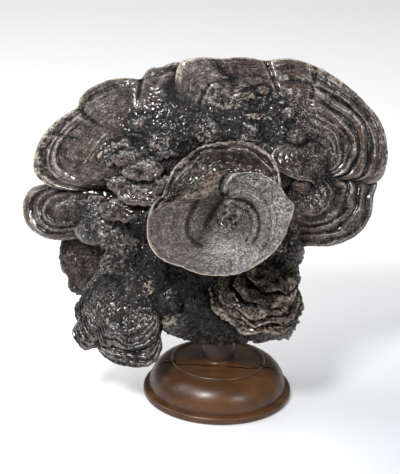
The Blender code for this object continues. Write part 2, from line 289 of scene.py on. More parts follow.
def grow(name, seat, outline, nod=0.0, turn=0.0, crown=10.0, edge=7.0, stem=34.0, taper=1.0,
         segments=240, rings=100, seed=1, wander=0.02, ragged=0.0, ruffle=0.8, sink=14.0, pale_edge=0.8,
         drift=(0.0, 0.0), free=(0, 360), clear=((0, 360, 0.5),), combed=(), bloom=(), folds=(),
         ridges=YOUNG_RIDGES):
    """One bracket, closed all round, standing where its seat, nod and turn put it."""
    piece = add_primitive("uv_sphere", name, segments=segments, ring_count=rings, radius=1.0)
    points = read_points(piece)
    mean_reach = float(np.mean(reach_at(outline, np.arange(360.0))))
    plan_share, plan_angle, plan_part = ring_plan(rings, 0.5 * edge / mean_reach)
    level = np.rint(np.arccos(np.clip(points[:, 2], -1.0, 1.0)) / pi * (len(plan_share) - 1)).astype(int)
    share, angle, part = plan_share[level], plan_angle[level], plan_part[level]
    bearing = np.degrees(np.arctan2(points[:, 1], points[:, 0]))
    shown = HIDDEN_RIDGES + (1.0 - HIDDEN_RIDGES) * in_sectors(bearing, share, clear, 0.08, 0.08)
    comb = in_sectors(bearing, share, combed)

    torn = 0.8 * waves(bearing, seed + 5, 4, 9) + 0.3 * waves(bearing, seed + 6, 17, 60)
    grown = np.clip(share, 0.0, 1.0) ** YOUNG_ROUNDNESS
    last_ring = reach_at(outline, bearing) * (1.0 + ragged * torn)
    reach = (rounder(outline, bearing) * (1.0 - grown) + last_ring * grown) * share
    uneven = share + wander * waves(bearing, seed, 3, 9, 6.0 * share) * smooth_step(share, 0.05, 0.3)

    bands = ridge_relief(np.minimum(uneven, 1.0), bearing, mean_reach, ridges, seed)
    bands = bands * shown * (1.0 - COMBED_AWAY * comb)
    relief = bands + ruffle * share * waves(bearing, seed + 9, 3, 9, 2.0 * share)
    for place, spread, depth in folds:
        relief -= depth * np.exp(-(turn_from(bearing, place) / spread) ** 2) * smooth_step(share, 0.45, 0.9)
    loose = 1.0 if free == (0, 360) else sector(bearing, *free)
    dome = crown * (1.0 - share**2) - sink * (1.0 - loose) * smooth_step(share, 0.45, 1.0)
    thick = edge + (stem - edge) * (1.0 - np.clip(share, 0.0, 1.0)) ** taper
    top = dome + relief
    lip_height = top + 0.5 * edge * (np.sin(angle) - 1.0)
    below = dome - thick + 0.5 * relief * smooth_step(share, 0.6, 1.0)

    turned = np.radians(bearing)
    points[:, 0] = drift[0] * (1.0 - share) + reach * np.cos(turned)
    points[:, 1] = drift[1] * (1.0 - share) + reach * np.sin(turned)
    points[:, 2] = np.where(part == TOP, top, np.where(part == LIP, lip_height, below))
    write_points(piece, points)
    margin = np.maximum(np.where(part == LIP, np.cos(angle), 0.0),
                        0.8 * (part == TOP) * smooth_step(share, 0.955, 0.985))
    paint_all(piece, rim=share, shown=shown, comb=comb, reach=mean_reach, edge=margin * loose * pale_edge,
              crest=np.where(part == UNDERSIDE, 0.5, np.clip(0.5 + 0.2 * bands, 0.0, 1.0)),
              under=np.where(part == UNDERSIDE, 1.0, np.where(angle < -0.3, 0.7, 0.0)),
              pale=in_sectors(bearing, share, bloom, 0.03, 0.05) * (part != UNDERSIDE),
              grain=np.stack([np.cos(turned), np.sin(turned), uneven], axis=1))
    tilt = Matrix.Rotation(radians(turn), 4, "Y") @ Matrix.Rotation(radians(-nod), 4, "X")
    piece.data.transform(SPECIMEN @ Matrix.Translation(Vector(seat) * MM) @ tilt @ Matrix.Scale(MM, 4))
    pick(piece)
    bpy.ops.object.shade_smooth()
    print(name, len(piece.data.polygons), "faces")
    return piece


# %% [markdown]
# ## Knobs on rough ground
# The middle of the specimen is covered in knobs a few millimetres across, and the outer bands are smooth.
# A displace modifier with a cloud texture raises broad lumps on any shape. The knobs themselves are drawn
# out along the growth rings, which no texture of the modifier can follow, so they come from a seeded
# noise that is read in ring coordinates. Its absolute value gives round backs with sharp creases between
# them.

# %% Noise that code can read
HASH_SIZE = 4096
HASH_PRIMES = (73856093, 19349663, 83492791)
COARSE_KNOBS = 1.2
FINE_KNOBS = 0.6


def clumps(places, seed):
    """Smooth seeded noise between -1 and 1 at places given in clump sizes."""
    table = np.random.default_rng(seed).uniform(-1.0, 1.0, HASH_SIZE)
    base = np.floor(places).astype(np.int64)
    t = places - base
    t = t * t * (3.0 - 2.0 * t)
    total = np.zeros(len(places))
    for corner in np.ndindex(2, 2, 2):
        index = base + np.array(corner)
        key = np.bitwise_xor.reduce(index * np.array(HASH_PRIMES), axis=1)
        weight = np.prod(np.where(np.array(corner) == 1, t, 1.0 - t), axis=1)
        total += table[key & (HASH_SIZE - 1)] * weight
    return total


def round_backs(places, seed, finer, shift):
    """Noise folded at zero, in two sizes, which gives round backs with sharp creases between them."""
    coarse = np.abs(clumps(places, seed))
    fine = np.abs(clumps(finer * places + shift, seed + 1))
    return coarse * COARSE_KNOBS + fine * FINE_KNOBS


print("clumps at the first three whole places:", clumps(np.eye(3), 7))

# %% [markdown]
# ## Where the ground is rough
# The rough ground is given once, as soft ovals on the face, so that neighbouring brackets agree. It fades
# on the ridges that show, on the last margin, and on the pore side.

# %% Soft ovals on the face
# Ovals are (centre, radii), each as (right, up) in millimetres.
ROUGH_GROUND = (((-52, 82), (48, 34)), ((-96, 34), (34, 26)), ((6, 104), (62, 30)), ((62, 98), (36, 24)),
                ((-106, -4), (36, 34)), ((-84, -48), (52, 44)), ((-104, -76), (40, 26)),
                ((74, 38), (20, 18)), ((97, 72), (18, 22)), ((20, -90), (90, 60)))
RIDGES_STAY_SMOOTH = 0.6


def oval(places, centre, radii, softness=0.4):
    """1 inside an oval on the face, 0 outside it, with a soft edge."""
    across = (places[:, 0] - centre[0]) / radii[0]
    along = (places[:, 1] - centre[1]) / radii[1]
    return 1.0 - smooth_step(np.hypot(across, along), 1.0 - softness, 1.0 + softness)


def rough_ground(piece):
    """How rough the crust is at each vertex, from 0 to 1."""
    places = specimen_places(read_points(piece))
    rough = np.zeros(len(places))
    for centre, radii in ROUGH_GROUND:
        rough = np.maximum(rough, oval(places, centre, radii))
    rough *= 1.0 - RIDGES_STAY_SMOOTH * smooth_step(painted(piece, "shown"), 0.4, 0.9)
    return rough * (1.0 - smooth_step(painted(piece, "rim"), 0.88, 0.97)) * (1.0 - painted(piece, "under"))


print("rough ground has", len(ROUGH_GROUND), "ovals")

# %% [markdown]
# ## Lumps, then knobs
# A vertex group holds the roughness in a few steps, and the displace modifier raises its clouds by that
# group. The knobs follow the growth rings near a margin and lie as they like further in. Where the ground
# isn't rough, the same noise is only a fine grain.

# %% Raise lumps and knobs
WEIGHT_STEPS = 8
LUMP_SIZE = 4.0
LUMP_DEPTH = 2.2
PATCH_SIZE = 4.5


def group_by_weight(piece, name, weights):
    """A vertex group that follows the weights in a few steps."""
    group = piece.vertex_groups.new(name=name)
    steps = np.rint(np.clip(weights, 0.0, 1.0) * WEIGHT_STEPS).astype(int)
    for step in range(1, WEIGHT_STEPS + 1):
        group.add(np.flatnonzero(steps == step).tolist(), step / WEIGHT_STEPS, "REPLACE")
    return group.name


def lumps(piece, size, depth, weights):
    """Displace a piece with clouds of the given size. Size and depth are in millimetres."""
    pattern = bpy.data.textures.new(f"clouds {size}", "CLOUDS")
    pattern.noise_scale = size * MM
    pattern.noise_depth = 2
    apply_modifier(piece, "DISPLACE", texture=pattern, texture_coords="LOCAL", strength=depth * MM,
                   mid_level=0.5, vertex_group=group_by_weight(piece, "lumps", weights))
    bpy.data.textures.remove(pattern)
    piece.vertex_groups.clear()


def crusted(piece, rough=None, along=5.0, across=2.8, depth=2.8, fine=0.45, rings_from=0.25, seed=7):
    """Give a piece its lumps and knobs. Roughness is the shared ground's, one number for all but its pore
    side, or a number for each vertex. Sizes are in millimetres."""
    upper = 1.0 - painted(piece, "under")
    if rough is None:
        rough = rough_ground(piece)
    elif np.isscalar(rough):
        rough = rough * upper
    paint(piece, "rough", rough)
    lumps(piece, LUMP_SIZE * along, LUMP_DEPTH * depth, rough)
    points, normals = read_points(piece), read_points(piece, "normal")
    places = specimen_places(points) / across
    patchy = 0.4 + 0.6 * smooth_step(clumps(places / PATCH_SIZE, seed + 9), -0.3, 0.3)
    knob = round_backs(places, seed, 2.1, 5.0)
    if "reach" in piece.data.attributes:
        grain = painted(piece, "grain")
        ringed = grain * painted(piece, "reach")[:, None] / np.array([along, along, across])
        ring_like = smooth_step(grain[:, 2], rings_from, rings_from + 0.25)
        knob = knob * (1.0 - ring_like) + round_backs(ringed, seed + 2, 2.2, 3.0) * ring_like
    height = (depth * rough * patchy + fine * upper * (1.0 - rough)) * (knob - 0.5)
    write_points(piece, points + normals * height[:, None] * MM)


print("lumps are", LUMP_SIZE, "knobs wide and", LUMP_DEPTH, "times as deep")

# %% [markdown]
# ## Strokes with a thumb or a needle
# Single ridges and grooves are pressed in along a few points, as a modeller would with a tool. Each
# vertex is moved out of the face by how near it lies to the path, and the same nearness can paint a tone.

# %% Press a stroke
FADE_LENGTH = 0.14
OUT_OF_FACE = np.array(SPECIMEN.to_3x3() @ Vector((0.0, 0.0, 1.0)))


def nearness(places, path):
    """Distance in millimetres from each place to a path, and how far along it that is, from 0 to 1."""
    lengths = np.hypot(*np.diff(path, axis=0).T)
    ends = np.concatenate([[0.0], np.cumsum(lengths)]) / lengths.sum()
    nearest = np.full(len(places), np.inf)
    along = np.zeros(len(places))
    for start, end, first, last in zip(path[:-1], path[1:], ends[:-1], ends[1:]):
        run = end - start
        t = np.clip((places - start) @ run / (run @ run), 0.0, 1.0)
        distance = np.linalg.norm(places - start - t[:, None] * run, axis=1)
        closer = distance < nearest
        nearest = np.where(closer, distance, nearest)
        along = np.where(closer, first + t * (last - first), along)
    return nearest, along


def add_tone(piece, tone, amounts):
    """Add to a painted tone, up to 1."""
    old = painted(piece, tone) if tone in piece.data.attributes else 0.0
    paint(piece, tone, np.clip(old + amounts, 0.0, 1.0))


def stroke(pieces, path, width, height, power=2, fade=0.12, **tones):
    """Press a groove, or raise a ridge, along a path of (right, up) points, and paint it."""
    for piece in pieces:
        points = read_points(piece)
        distance, along = nearness(specimen_places(points)[:, :2], np.array(path, dtype=float))
        ends_fade = smooth_step(np.minimum(along, 1.0 - along), fade - FADE_LENGTH, fade)
        strength = np.exp(-(distance / width) ** power) * ends_fade
        strength *= 1.0 - painted(piece, "under")
        write_points(piece, points + strength[:, None] * OUT_OF_FACE * height * MM)
        for tone, amount in tones.items():
            add_tone(piece, tone, amount * strength)


print("out of the face is", OUT_OF_FACE)

# %% [markdown]
# ## Mounds
# Between the brackets the crust swells into mounds with no rings at all. Balls joined and remeshed melt
# into one skin, as clay does under a thumb, and a smooth modifier takes the creases out before the knobs
# go on.

# %% Melt balls into a mound
MOUND_LUMP_SIZE = 2.6
MOUND_LUMP_DEPTH = 1.7
MOUND_GRAIN = 60.0


def mound(name, balls, voxel=1.4, knob=3.6, depth=3.4, seed=3):
    """Balls of (right, up, out), (radius right, up, out), melted together and covered in knobs."""
    made = []
    for centre, radii in balls:
        ball = add_primitive("uv_sphere", name, segments=32, ring_count=16, radius=1.0)
        size = Matrix.Diagonal((*(Vector(radii) * MM), 1.0))
        ball.data.transform(SPECIMEN @ Matrix.Translation(Vector(centre) * MM) @ size)
        made.append(ball)
    for ball in made:
        ball.select_set(True)
    bpy.context.view_layer.objects.active = made[0]
    bpy.ops.object.join()
    piece = bpy.context.object
    apply_modifier(piece, "REMESH", mode="VOXEL", voxel_size=voxel * MM)
    apply_modifier(piece, "SMOOTH", factor=0.6, iterations=8)
    places = specimen_places(read_points(piece))
    paint_all(piece, rim=0.5, crest=0.5, edge=0.0, under=0.0, shown=0.0, comb=0.0,
              grain=places / MOUND_GRAIN)
    lumps(piece, MOUND_LUMP_SIZE * knob, MOUND_LUMP_DEPTH * depth, np.ones(len(places)))
    crusted(piece, rough=1.0, along=knob, across=knob, depth=depth, seed=seed)
    pick(piece)
    bpy.ops.object.shade_smooth()
    print(name, len(piece.data.polygons), "faces")
    return piece


upper_mound = mound("upper_mound", (
    ((-104, 62, 2), (26, 15, 11)), ((-84, 92, 0), (22, 17, 12)), ((-58, 108, 0), (26, 16, 12)),
    ((-62, 74, 4), (26, 22, 14)), ((-88, 46, 4), (24, 18, 14)), ((-25, 104, 0), (30, 18, 13)),
    ((-22, 88, 2), (34, 16, 13)), ((14, 100, 0), (30, 18, 13)), ((44, 112, 0), (24, 14, 10)),
    ((46, 92, 0), (24, 16, 11)), ((58, 70, 0), (15, 16, 12))))
left_mound = mound("left_mound", (
    ((-97, -28, -2), (22, 26, 16)), ((-80, -5, 4), (22, 20, 18)), ((-118, -20, -12), (26, 20, 16)),
    ((-70, -50, -2), (20, 26, 20)), ((-85, -76, -8), (22, 22, 16)), ((-104, -56, -12), (26, 18, 14)),
    ((-54, -88, -6), (18, 24, 13)), ((-62, -74, 2), (10, 9, 9)), ((-47, -96, 4), (8, 11, 8)),
    ((-134, 2, -18), (24, 16, 14))), knob=2.9, depth=2.9)
heel_mound = mound("heel_mound", (
    ((-40, -114, -6), (22, 17, 18)), ((2, -112, -4), (32, 18, 20)), ((60, -108, -4), (22, 14, 18)),
    ((34, -114, -2), (22, 13, 18)), ((-16, -96, 4), (22, 20, 14)), ((14, -84, 8), (18, 18, 12)),
    ((66, -40, -10), (14, 20, 13)), ((74, -60, -10), (10, 14, 10)), ((56, -38, 0), (16, 18, 14))))

# %% [markdown]
# ## The broad fans
# Two broad fans make the crown. The left one has a scalloped edge with three notches and its ridges
# follow that edge. The right one curls round a centre of its own, so its rings are tight on one side and
# wide on the other. A lobe of its own stands between two notches of the left fan.

# %% Grow the broad fans
fan_left = grow(
    "fan_left", seat=(-91, 67, -7), nod=-4, turn=-12, crown=15, edge=5, stem=40,
    segments=280, rings=126, seed=11,
    free=(62, 222), clear=((140, 226, 0.70), (60, 150, 0.86)), combed=((62, 138, 0.70),),
    bloom=((140, 216, 0.93),), folds=((91, 2.0, 4.0), (150, 3.0, 4.0), (172, 2.0, 2.0)),
    ridges=((0.60, 0.8, 4.0), (0.70, 1.0, 2.4), (0.775, 2.8, 2.6), (0.835, 3.0, 2.2), (0.90, -1.6, 4.0),
            (0.955, 1.0, 1.3)),
    outline=((0, 88), (30, 98), (50, 104), (68, 101), (77, 90), (85, 86), (91, 75), (99, 76), (117, 81),
             (141, 86), (148, 83), (154, 87), (166, 100), (178, 113), (193, 121), (202, 111), (210, 93),
             (218, 76), (235, 62), (265, 55), (300, 60), (332, 74)))
crown_lobe = grow(
    "crown_lobe", seat=(-66, 98, -4), nod=-4, turn=-6, crown=9, edge=5, stem=26,
    segments=200, rings=72, seed=14, sink=12,
    free=(62, 126), clear=((50, 150, 0.42),), combed=((50, 150, 0.66),),
    folds=((60, 3.0, 3.0), (96, 2.0, 1.5)),
    ridges=((0.40, 1.6, 3.0), (0.56, 2.0, 2.6), (0.70, 1.0, 2.0), (0.82, -1.0, 3.0), (0.94, 0.8, 1.3)),
    outline=((0, 36), (40, 48), (62, 61), (75, 61), (90, 57), (105, 55), (118, 50), (128, 44), (150, 38),
             (180, 36), (220, 34), (270, 32), (320, 32)))
fan_right = grow(
    "fan_right", seat=(51, 72, -5), nod=-2, turn=10, crown=15, edge=5, stem=42,
    segments=300, rings=130, seed=12,
    drift=(27, -9), free=(-22, 152), clear=((-30, 62, 0.34), (55, 152, 0.76)), combed=((68, 152, 0.74),),
    bloom=((-20, 66, 0.955),), folds=((98.5, 1.6, 5.0), (66, 2.0, 2.0), (128, 3.0, 1.5)),
    ridges=((0.20, -2.0, 9.0), (0.36, 1.8, 2.2), (0.44, 2.0, 2.2), (0.515, 1.4, 1.8), (0.60, 3.0, 3.0),
            (0.665, -1.6, 1.8), (0.735, 3.2, 3.2), (0.80, -1.8, 2.0), (0.85, 1.2, 2.2), (0.91, -0.6, 2.0),
            (0.955, 0.5, 1.2)),
    outline=((3, 123), (17, 119), (30, 110), (46, 103), (65, 99), (82, 98), (91, 96), (99, 95),
             (108, 101), (123, 112), (132, 126), (140, 136), (150, 125), (165, 105), (185, 85), (210, 70),
             (240, 60), (270, 56), (300, 58), (320, 62), (331, 69), (338, 90), (346, 118), (355, 123)))
for fan in (fan_left, fan_right):
    crusted(fan)
crusted(crown_lobe, depth=2.0)

# %% [markdown]
# ## Dashes on the left fan
# A patch of short raised dashes marks the left fan near its edge, painted pale as glints along its
# rings. Seeded dice give each one its place and length, and all slant the same way.

# %% Press the dashes
DASH_MIDDLE = (-136.0, 65.0)
DASH_SPREAD = (7.0, 7.0)
DASH_SLANT = (0.55, 0.84)
DASHES = 14
dice = np.random.default_rng(21)
# Each dash is raised a little and painted pale as a glint.
for _ in range(DASHES):
    middle = np.array(DASH_MIDDLE) + dice.normal(0.0, DASH_SPREAD)
    half = np.array(DASH_SLANT) * dice.uniform(1.5, 4.0)
    stroke([fan_left], (middle - half, middle + half), width=0.8, height=0.9, fade=0.0, pale=0.8)
print("pressed", DASHES, "dashes")

# %% [markdown]
# ## The lobes and plates beside them
# Smaller brackets hang under the fans: a lobe on each side, a small one inside the right fan, a bud of a
# bracket beside the left lobe, and a smooth plate under it. They are the same growth at a smaller size,
# so they come from the same call.

# %% Grow the lobes and the plate
lobe_right = grow(
    "lobe_right", seat=(90, 21, -15), nod=4, turn=10, crown=9, edge=5, stem=32,
    segments=220, rings=94, seed=21,
    drift=(-6, 2), free=(262, 378), clear=((-110, 60, 0.30),),
    ridges=((0.22, 1.0, 2.0), (0.34, 1.4, 1.8), (0.50, 2.4, 2.6), (0.57, -1.2, 1.4), (0.64, 2.8, 2.8),
            (0.72, -1.4, 1.8), (0.80, 2.0, 3.0), (0.89, -0.8, 2.0), (0.955, 0.5, 1.2)),
    outline=((5, 71), (16, 79), (30, 80), (50, 68), (90, 50), (150, 45), (200, 48), (240, 52), (262, 51),
             (272, 49), (286, 51), (312, 59), (335, 67), (350, 70)))
inner_right = grow(
    "inner_right", seat=(85, 71, 13), nod=12, turn=12, crown=1, edge=4, stem=22,
    segments=160, rings=70, seed=22, sink=30,
    free=(140, 290), clear=((120, 300, 0.2),),
    ridges=((0.40, 0.8, 1.6), (0.58, 1.0, 1.6), (0.74, 1.0, 1.6), (0.88, 0.9, 1.4)),
    outline=((20, 30), (60, 22), (100, 18), (144, 20), (165, 27), (177, 35), (190, 40), (207, 38),
             (230, 33), (266, 30), (294, 34), (316, 41), (345, 38)))
lobe_left = grow(
    "lobe_left", seat=(-145, 3, -36), nod=6, turn=-15, crown=12, edge=6, stem=32,
    segments=200, rings=88, seed=23,
    drift=(-22, -8), free=(116, 300), clear=((100, 320, 0.2),), bloom=((130, 250, 0.93),),
    ridges=((0.30, -1.2, 4.0), (0.46, 1.6, 2.6), (0.56, -1.2, 1.6), (0.65, 1.8, 3.0), (0.76, -1.4, 2.6),
            (0.86, 1.2, 3.0), (0.955, 0.5, 1.3)),
    outline=((0, 60), (40, 60), (90, 50), (125, 48), (145, 52), (156, 59), (165, 71), (178, 77),
             (195, 75), (207, 67), (224, 53), (243, 39), (262, 34), (286, 38), (320, 46)))
lobe_beside = grow(
    "lobe_beside", seat=(-140, -11, -14), nod=10, turn=-12, crown=7, edge=7, stem=24,
    segments=150, rings=60, seed=27, sink=10,
    free=(200, 330), clear=((190, 340, 0.4),),
    ridges=((0.5, 1.4, 2.6), (0.78, 1.2, 2.0)),
    outline=((0, 24), (45, 22), (90, 20), (135, 20), (180, 20), (225, 23), (270, 25), (315, 28)))
plate_left = grow(
    "plate_left", seat=(-114, -54, -45), nod=6, turn=-15, crown=11, edge=6, stem=26,
    segments=200, rings=70, seed=24, ragged=0.025, ruffle=1.6, pale_edge=0.2,
    free=(140, 262), clear=((140, 262, 0.5),),
    ridges=((0.4, 0.8, 5.0), (0.7, 0.8, 4.0), (0.88, -0.8, 2.4)),
    outline=((0, 70), (40, 65), (80, 60), (120, 62), (150, 66), (179, 68), (192, 62), (201, 58),
             (210, 63), (220, 59), (232, 51), (280, 50), (320, 60)))
for bracket in (lobe_right, lobe_left, lobe_beside):
    crusted(bracket, along=4.6, across=2.6, depth=2.2)
# The small inner bracket is knobbly on its right side alone.
knobbed = smooth_step(specimen_places(read_points(inner_right))[:, 0], 62.0, 76.0)
knobbed *= 1.0 - painted(inner_right, "under")
crusted(inner_right, rough=knobbed, along=3.4, across=2.4, depth=2.4)
crusted(plate_left, along=5.0, across=3.4, depth=2.0, fine=1.3)

# %% [markdown]
# ## The low fan
# The lowest fan on the left has two tiers and a small lobe. Its surface is knobbly, with three or four
# thin ridges close together along its edge, so its ridges are narrow and its knobs follow the rings only
# near the margin.

# %% Grow the low fan
fan_low = grow(
    "fan_low", seat=(-102, -83, -12), nod=12, turn=-6, crown=2, edge=2.6, stem=34,
    segments=250, rings=98, seed=25, ragged=0.022, ruffle=0.9, pale_edge=0.4,
    drift=(6, 18), free=(185, 326), clear=((190, 330, 0.66),), folds=((247, 3.0, 3.0), (206, 3.0, 2.0)),
    ridges=((0.79, 1.0, 1.0), (0.85, 1.3, 1.0), (0.905, 1.5, 1.0), (0.955, 1.4, 1.0)),
    outline=((0, 60), (40, 46), (90, 38), (130, 38), (165, 43), (192, 49), (201, 54), (216, 61),
             (221, 72), (232, 76), (241, 75), (247, 67), (254, 72), (267, 79), (280, 82), (296, 83),
             (306, 76), (313, 62), (330, 56)))
fan_low_upper = grow(
    "fan_low_upper", seat=(-103, -80, -4), nod=10, turn=-4, crown=2, edge=2.4, stem=32,
    segments=220, rings=90, seed=26, wander=0.025, ragged=0.03, ruffle=1.0, sink=12, pale_edge=0.5,
    drift=(8, 22), free=(205, 328), clear=((255, 330, 0.66), (200, 262, 0.80)),
    ridges=((0.77, 1.0, 1.0), (0.84, 1.4, 1.0), (0.90, 1.6, 1.0), (0.955, 1.4, 1.0)),
    outline=((0, 42), (60, 30), (120, 28), (180, 38), (200, 44), (212, 50), (222, 49), (230, 55),
             (243, 56), (252, 62), (264, 62), (276, 68), (290, 66), (303, 66), (314, 58), (330, 48)))
fan_low_scallop = grow(
    "fan_low_scallop", seat=(-138, -104, -14), nod=10, turn=-14, crown=2, edge=2.4, stem=14,
    segments=140, rings=60, seed=28, wander=0.03, ruffle=1.2, sink=8, pale_edge=0.5,
    free=(150, 330), clear=((140, 340, 0.3),),
    ridges=((0.55, 0.8, 1.0), (0.70, 1.0, 1.0), (0.85, 1.0, 1.0)),
    outline=((0, 18), (60, 18), (120, 17), (180, 18), (215, 19), (250, 21), (290, 22), (330, 20)))
low_fans = (fan_low, fan_low_upper, fan_low_scallop)
for bracket in low_fans:
    inner = 1.0 - smooth_step(painted(bracket, "rim"), 0.66, 0.8)
    crusted(bracket, rough=0.2 + 0.8 * inner, along=3.2, across=2.2, depth=1.7, fine=1.0, rings_from=0.75)

# %% [markdown]
# ## The bowl and the disc
# In front stands a shallow bowl with a raised rim, a rough step inside it, and on top a grey disc that
# winds out from a notch. They are storeys of one bracket, so the same call makes them, and a crown below
# zero hollows the bowl and the disc.

# %% Grow the bowl, its step and the disc
bowl = grow(
    "bowl", seat=(-2, 13, 42), nod=20, turn=-4, crown=-13, edge=5, stem=58, taper=1.5,
    segments=240, rings=100, seed=31, ragged=0.014,
    clear=((0, 360, 0.4),),
    ridges=((0.52, 1.2, 3.0), (0.72, -1.6, 5.0), (0.87, 1.4, 1.6), (0.915, -1.0, 1.2), (0.965, 2.0, 1.6)),
    outline=((0, 60), (20, 64), (45, 73), (60, 75), (81, 73), (94, 70), (118, 68), (142, 66), (162, 63),
             (173, 64), (179, 71), (187, 76), (198, 79), (215, 74), (240, 60), (270, 55), (300, 55),
             (330, 58)))
bowl_step = grow(
    "bowl_step", seat=(-6, 2, 46), nod=24, turn=-6, crown=6, edge=9, stem=40,
    segments=190, rings=70, seed=32, ragged=0.02, pale_edge=0.1,
    outline=((0, 40), (45, 58), (70, 55), (95, 51), (118, 48), (140, 46), (160, 50), (175, 56), (200, 56),
             (240, 50), (300, 40)))
front_disc = grow(
    "front_disc", seat=(-2, -3, 64), nod=26, turn=0, crown=-8, edge=3.2, stem=46, taper=1.6,
    segments=290, rings=126, seed=33, ragged=0.012, ruffle=1.4,
    drift=(14, 10), clear=((0, 360, 0.3),), combed=((250, 420, 0.6),),
    ridges=((0.46, 1.0, 2.2), (0.57, 0.8, 1.8), (0.66, -0.8, 1.6), (0.75, 1.2, 2.4), (0.84, -0.8, 1.4),
            (0.90, 0.8, 1.6), (0.945, -0.9, 1.2)),
    outline=((1, 69), (16, 77), (27, 73), (40, 72), (57, 68), (66, 63), (74, 58), (82, 54), (88, 48),
             (92, 40), (97, 33), (108, 31), (125, 33), (140, 38), (153, 50), (163, 62), (176, 74),
             (189, 76), (202, 78), (216, 73), (232, 65), (249, 61), (272, 59), (299, 59), (325, 61),
             (345, 65)))
crusted(bowl, rough=0.55, along=7.0, across=2.2, depth=2.0)
crusted(bowl_step, rough=0.9, along=3.0, across=2.6, depth=2.0)
crusted(front_disc, rough=smooth_step(0.36 - painted(front_disc, "rim"), 0.0, 0.1), along=3.0, across=2.6,
        depth=3.0)

# %% [markdown]
# ## Lines and folds on the disc
# The disc's grey face curls round its middle like a shell's whorl, from a round head at the notch down
# its right side. A groove, painted dark as painted shade, sets it off from a rough knot, with a smooth
# kidney-shaped fold to the left of that. Every line was read from the photograph as a few (right, up)
# points.

# %% The disc's paths
DISC_GROOVE = ((-12, 30), (-3, 25), (3, 21), (11, 20), (20, 19), (29, 14), (35, 5), (37, -6), (35, -18),
               (28, -28))
DISC_SHOULDER = ((0, 40), (3, 33), (10, 28), (20, 27), (33, 21), (41, 9), (43, -6), (40, -22), (32, -32))
HEAD_RIM = ((34, 50), (20, 49), (9, 45), (2, 36), (-0.5, 28), (4, 23))
HEAD_SHADOW = ((16, 53), (6, 49), (-2, 40), (-5, 28), (-2, 20))
DISC_LINES = (((4, 46), (10, 38), (22, 36), (36, 29), (46, 14), (49, -4), (46, -22), (36, -38)),
              ((8, 51), (20, 46), (34, 40), (48, 24), (55, 4), (52, -18), (42, -36), (24, -50)))
INNER_GROOVE = ((4, 18), (14, 12), (24, 8), (29, -2), (28, -14), (22, -24))
FOLD = ((0, 33), (-8, 27), (-16, 18), (-23, 6), (-27, -6), (-26, -15), (-18, -20))
FOLD_CRACK = ((-6, 36), (-17, 29), (-26, 18), (-33, 6), (-37, -6), (-36, -18), (-27, -27), (-14, -29))
FOLD_INSIDE = ((4, 26), (-3, 18), (-9, 8), (-15, -2), (-17, -9), (-11, -14))
print("the disc's groove runs down to", DISC_GROOVE[-1])

# %% Press the whorl and the fold
SHOULDER_CREST = ((8, 10), (16, 0))
FOLD_WRINKLES = (-3.0, 0.5, 3.5)
stroke([front_disc], SHOULDER_CREST, width=11.0, height=4.0, fade=0.0)
stroke([front_disc], DISC_SHOULDER, width=4.6, height=4.0)
# The dark paint in the grooves, cracks and shadow line below is painted shade.
for line in DISC_LINES:
    stroke([front_disc], line, width=1.0, height=-1.1, soot=0.35)
stroke([front_disc], DISC_GROOVE, width=1.5, height=-3.5, soot=0.9)
stroke([front_disc], HEAD_RIM, width=1.6, height=2.2, fade=0.2, pale=1.0)
stroke([front_disc, bowl_step], HEAD_SHADOW, width=2.4, height=-4.0, soot=1.0)
stroke([front_disc], INNER_GROOVE, width=1.2, height=-2.0, soot=0.5)
stroke([front_disc], FOLD, width=7.6, height=7.5, power=4, fade=0.14, fold=1.0)
for shift in FOLD_WRINKLES:
    wrinkle = [(right + shift, up) for right, up in FOLD]
    stroke([front_disc], wrinkle, width=0.8, height=-1.0, fade=0.3, soot=0.35)
stroke([front_disc], FOLD_CRACK, width=1.8, height=-4.0, soot=1.0)
stroke([front_disc], FOLD_INSIDE, width=2.0, height=-4.0, soot=0.85)
print("pressed the whorl, the groove and the fold")

# %% [markdown]
# ## The knot and the cracks
# The knot is a heap of short strokes, every second one a raised pale grain and the others pits painted
# dark as painted shade. Short cracks run in from the right and lower margin, where the disc dried fastest,
# and are darkened as painted shade too. Seeded dice place both.

# %% Press the knot and the cracks
KNOT_MIDDLE = (6.0, 2.0)
KNOT_SPREAD = 6.5
KNOT_STROKES = 26
DISC_MIDDLE = (8.0, -4.0)
CRACKS = 13
FIRST_CRACK = -118.0
LAST_CRACK = 62.0
CRACKED_REACH = 62.0
SHORTER_BELOW = 12.0


def radial_cracks(seed):
    """Short cracks that run in from the disc's right and lower margin, as pairs of (right, up) points."""
    dice = np.random.default_rng(seed)
    cracks = []
    bearings = np.linspace(FIRST_CRACK, LAST_CRACK, CRACKS) + dice.uniform(-4.0, 4.0, CRACKS)
    for bearing in np.radians(bearings):
        outer = (CRACKED_REACH - SHORTER_BELOW * abs(sin(bearing))) * dice.uniform(0.93, 1.04)
        inner = outer - dice.uniform(4.0, 15.0)
        cracks.append([(DISC_MIDDLE[0] + reach * cos(bearing), DISC_MIDDLE[1] + reach * sin(bearing))
                       for reach in (inner, outer)])
    return cracks


# The pits and cracks below are darkened as painted shade.
dice = np.random.default_rng(9)
for order in range(KNOT_STROKES):
    middle = np.array(KNOT_MIDDLE) + dice.normal(0.0, KNOT_SPREAD, 2)
    end = middle + dice.uniform(-4.0, 4.0, 2)
    if order % 2:
        stroke([front_disc], (middle, end), width=1.8, height=2.2, fade=0.0, pale=0.7)
    else:
        stroke([front_disc], (middle, end), width=1.2, height=-2.4, fade=0.0, soot=0.8)
for crack in radial_cracks(5):
    stroke([front_disc], crack, width=0.6, height=-1.2, soot=0.6)
print("pressed", KNOT_STROKES, "strokes on the knot and", CRACKS, "cracks")

# %% [markdown]
# ## The weathered plates and the heart
# At the lower right, old brackets have flaked into thin plates with ragged cream edges. Behind everything
# is the heart that they all grew from, with a knobbly heel that bears on the neck of the stand.

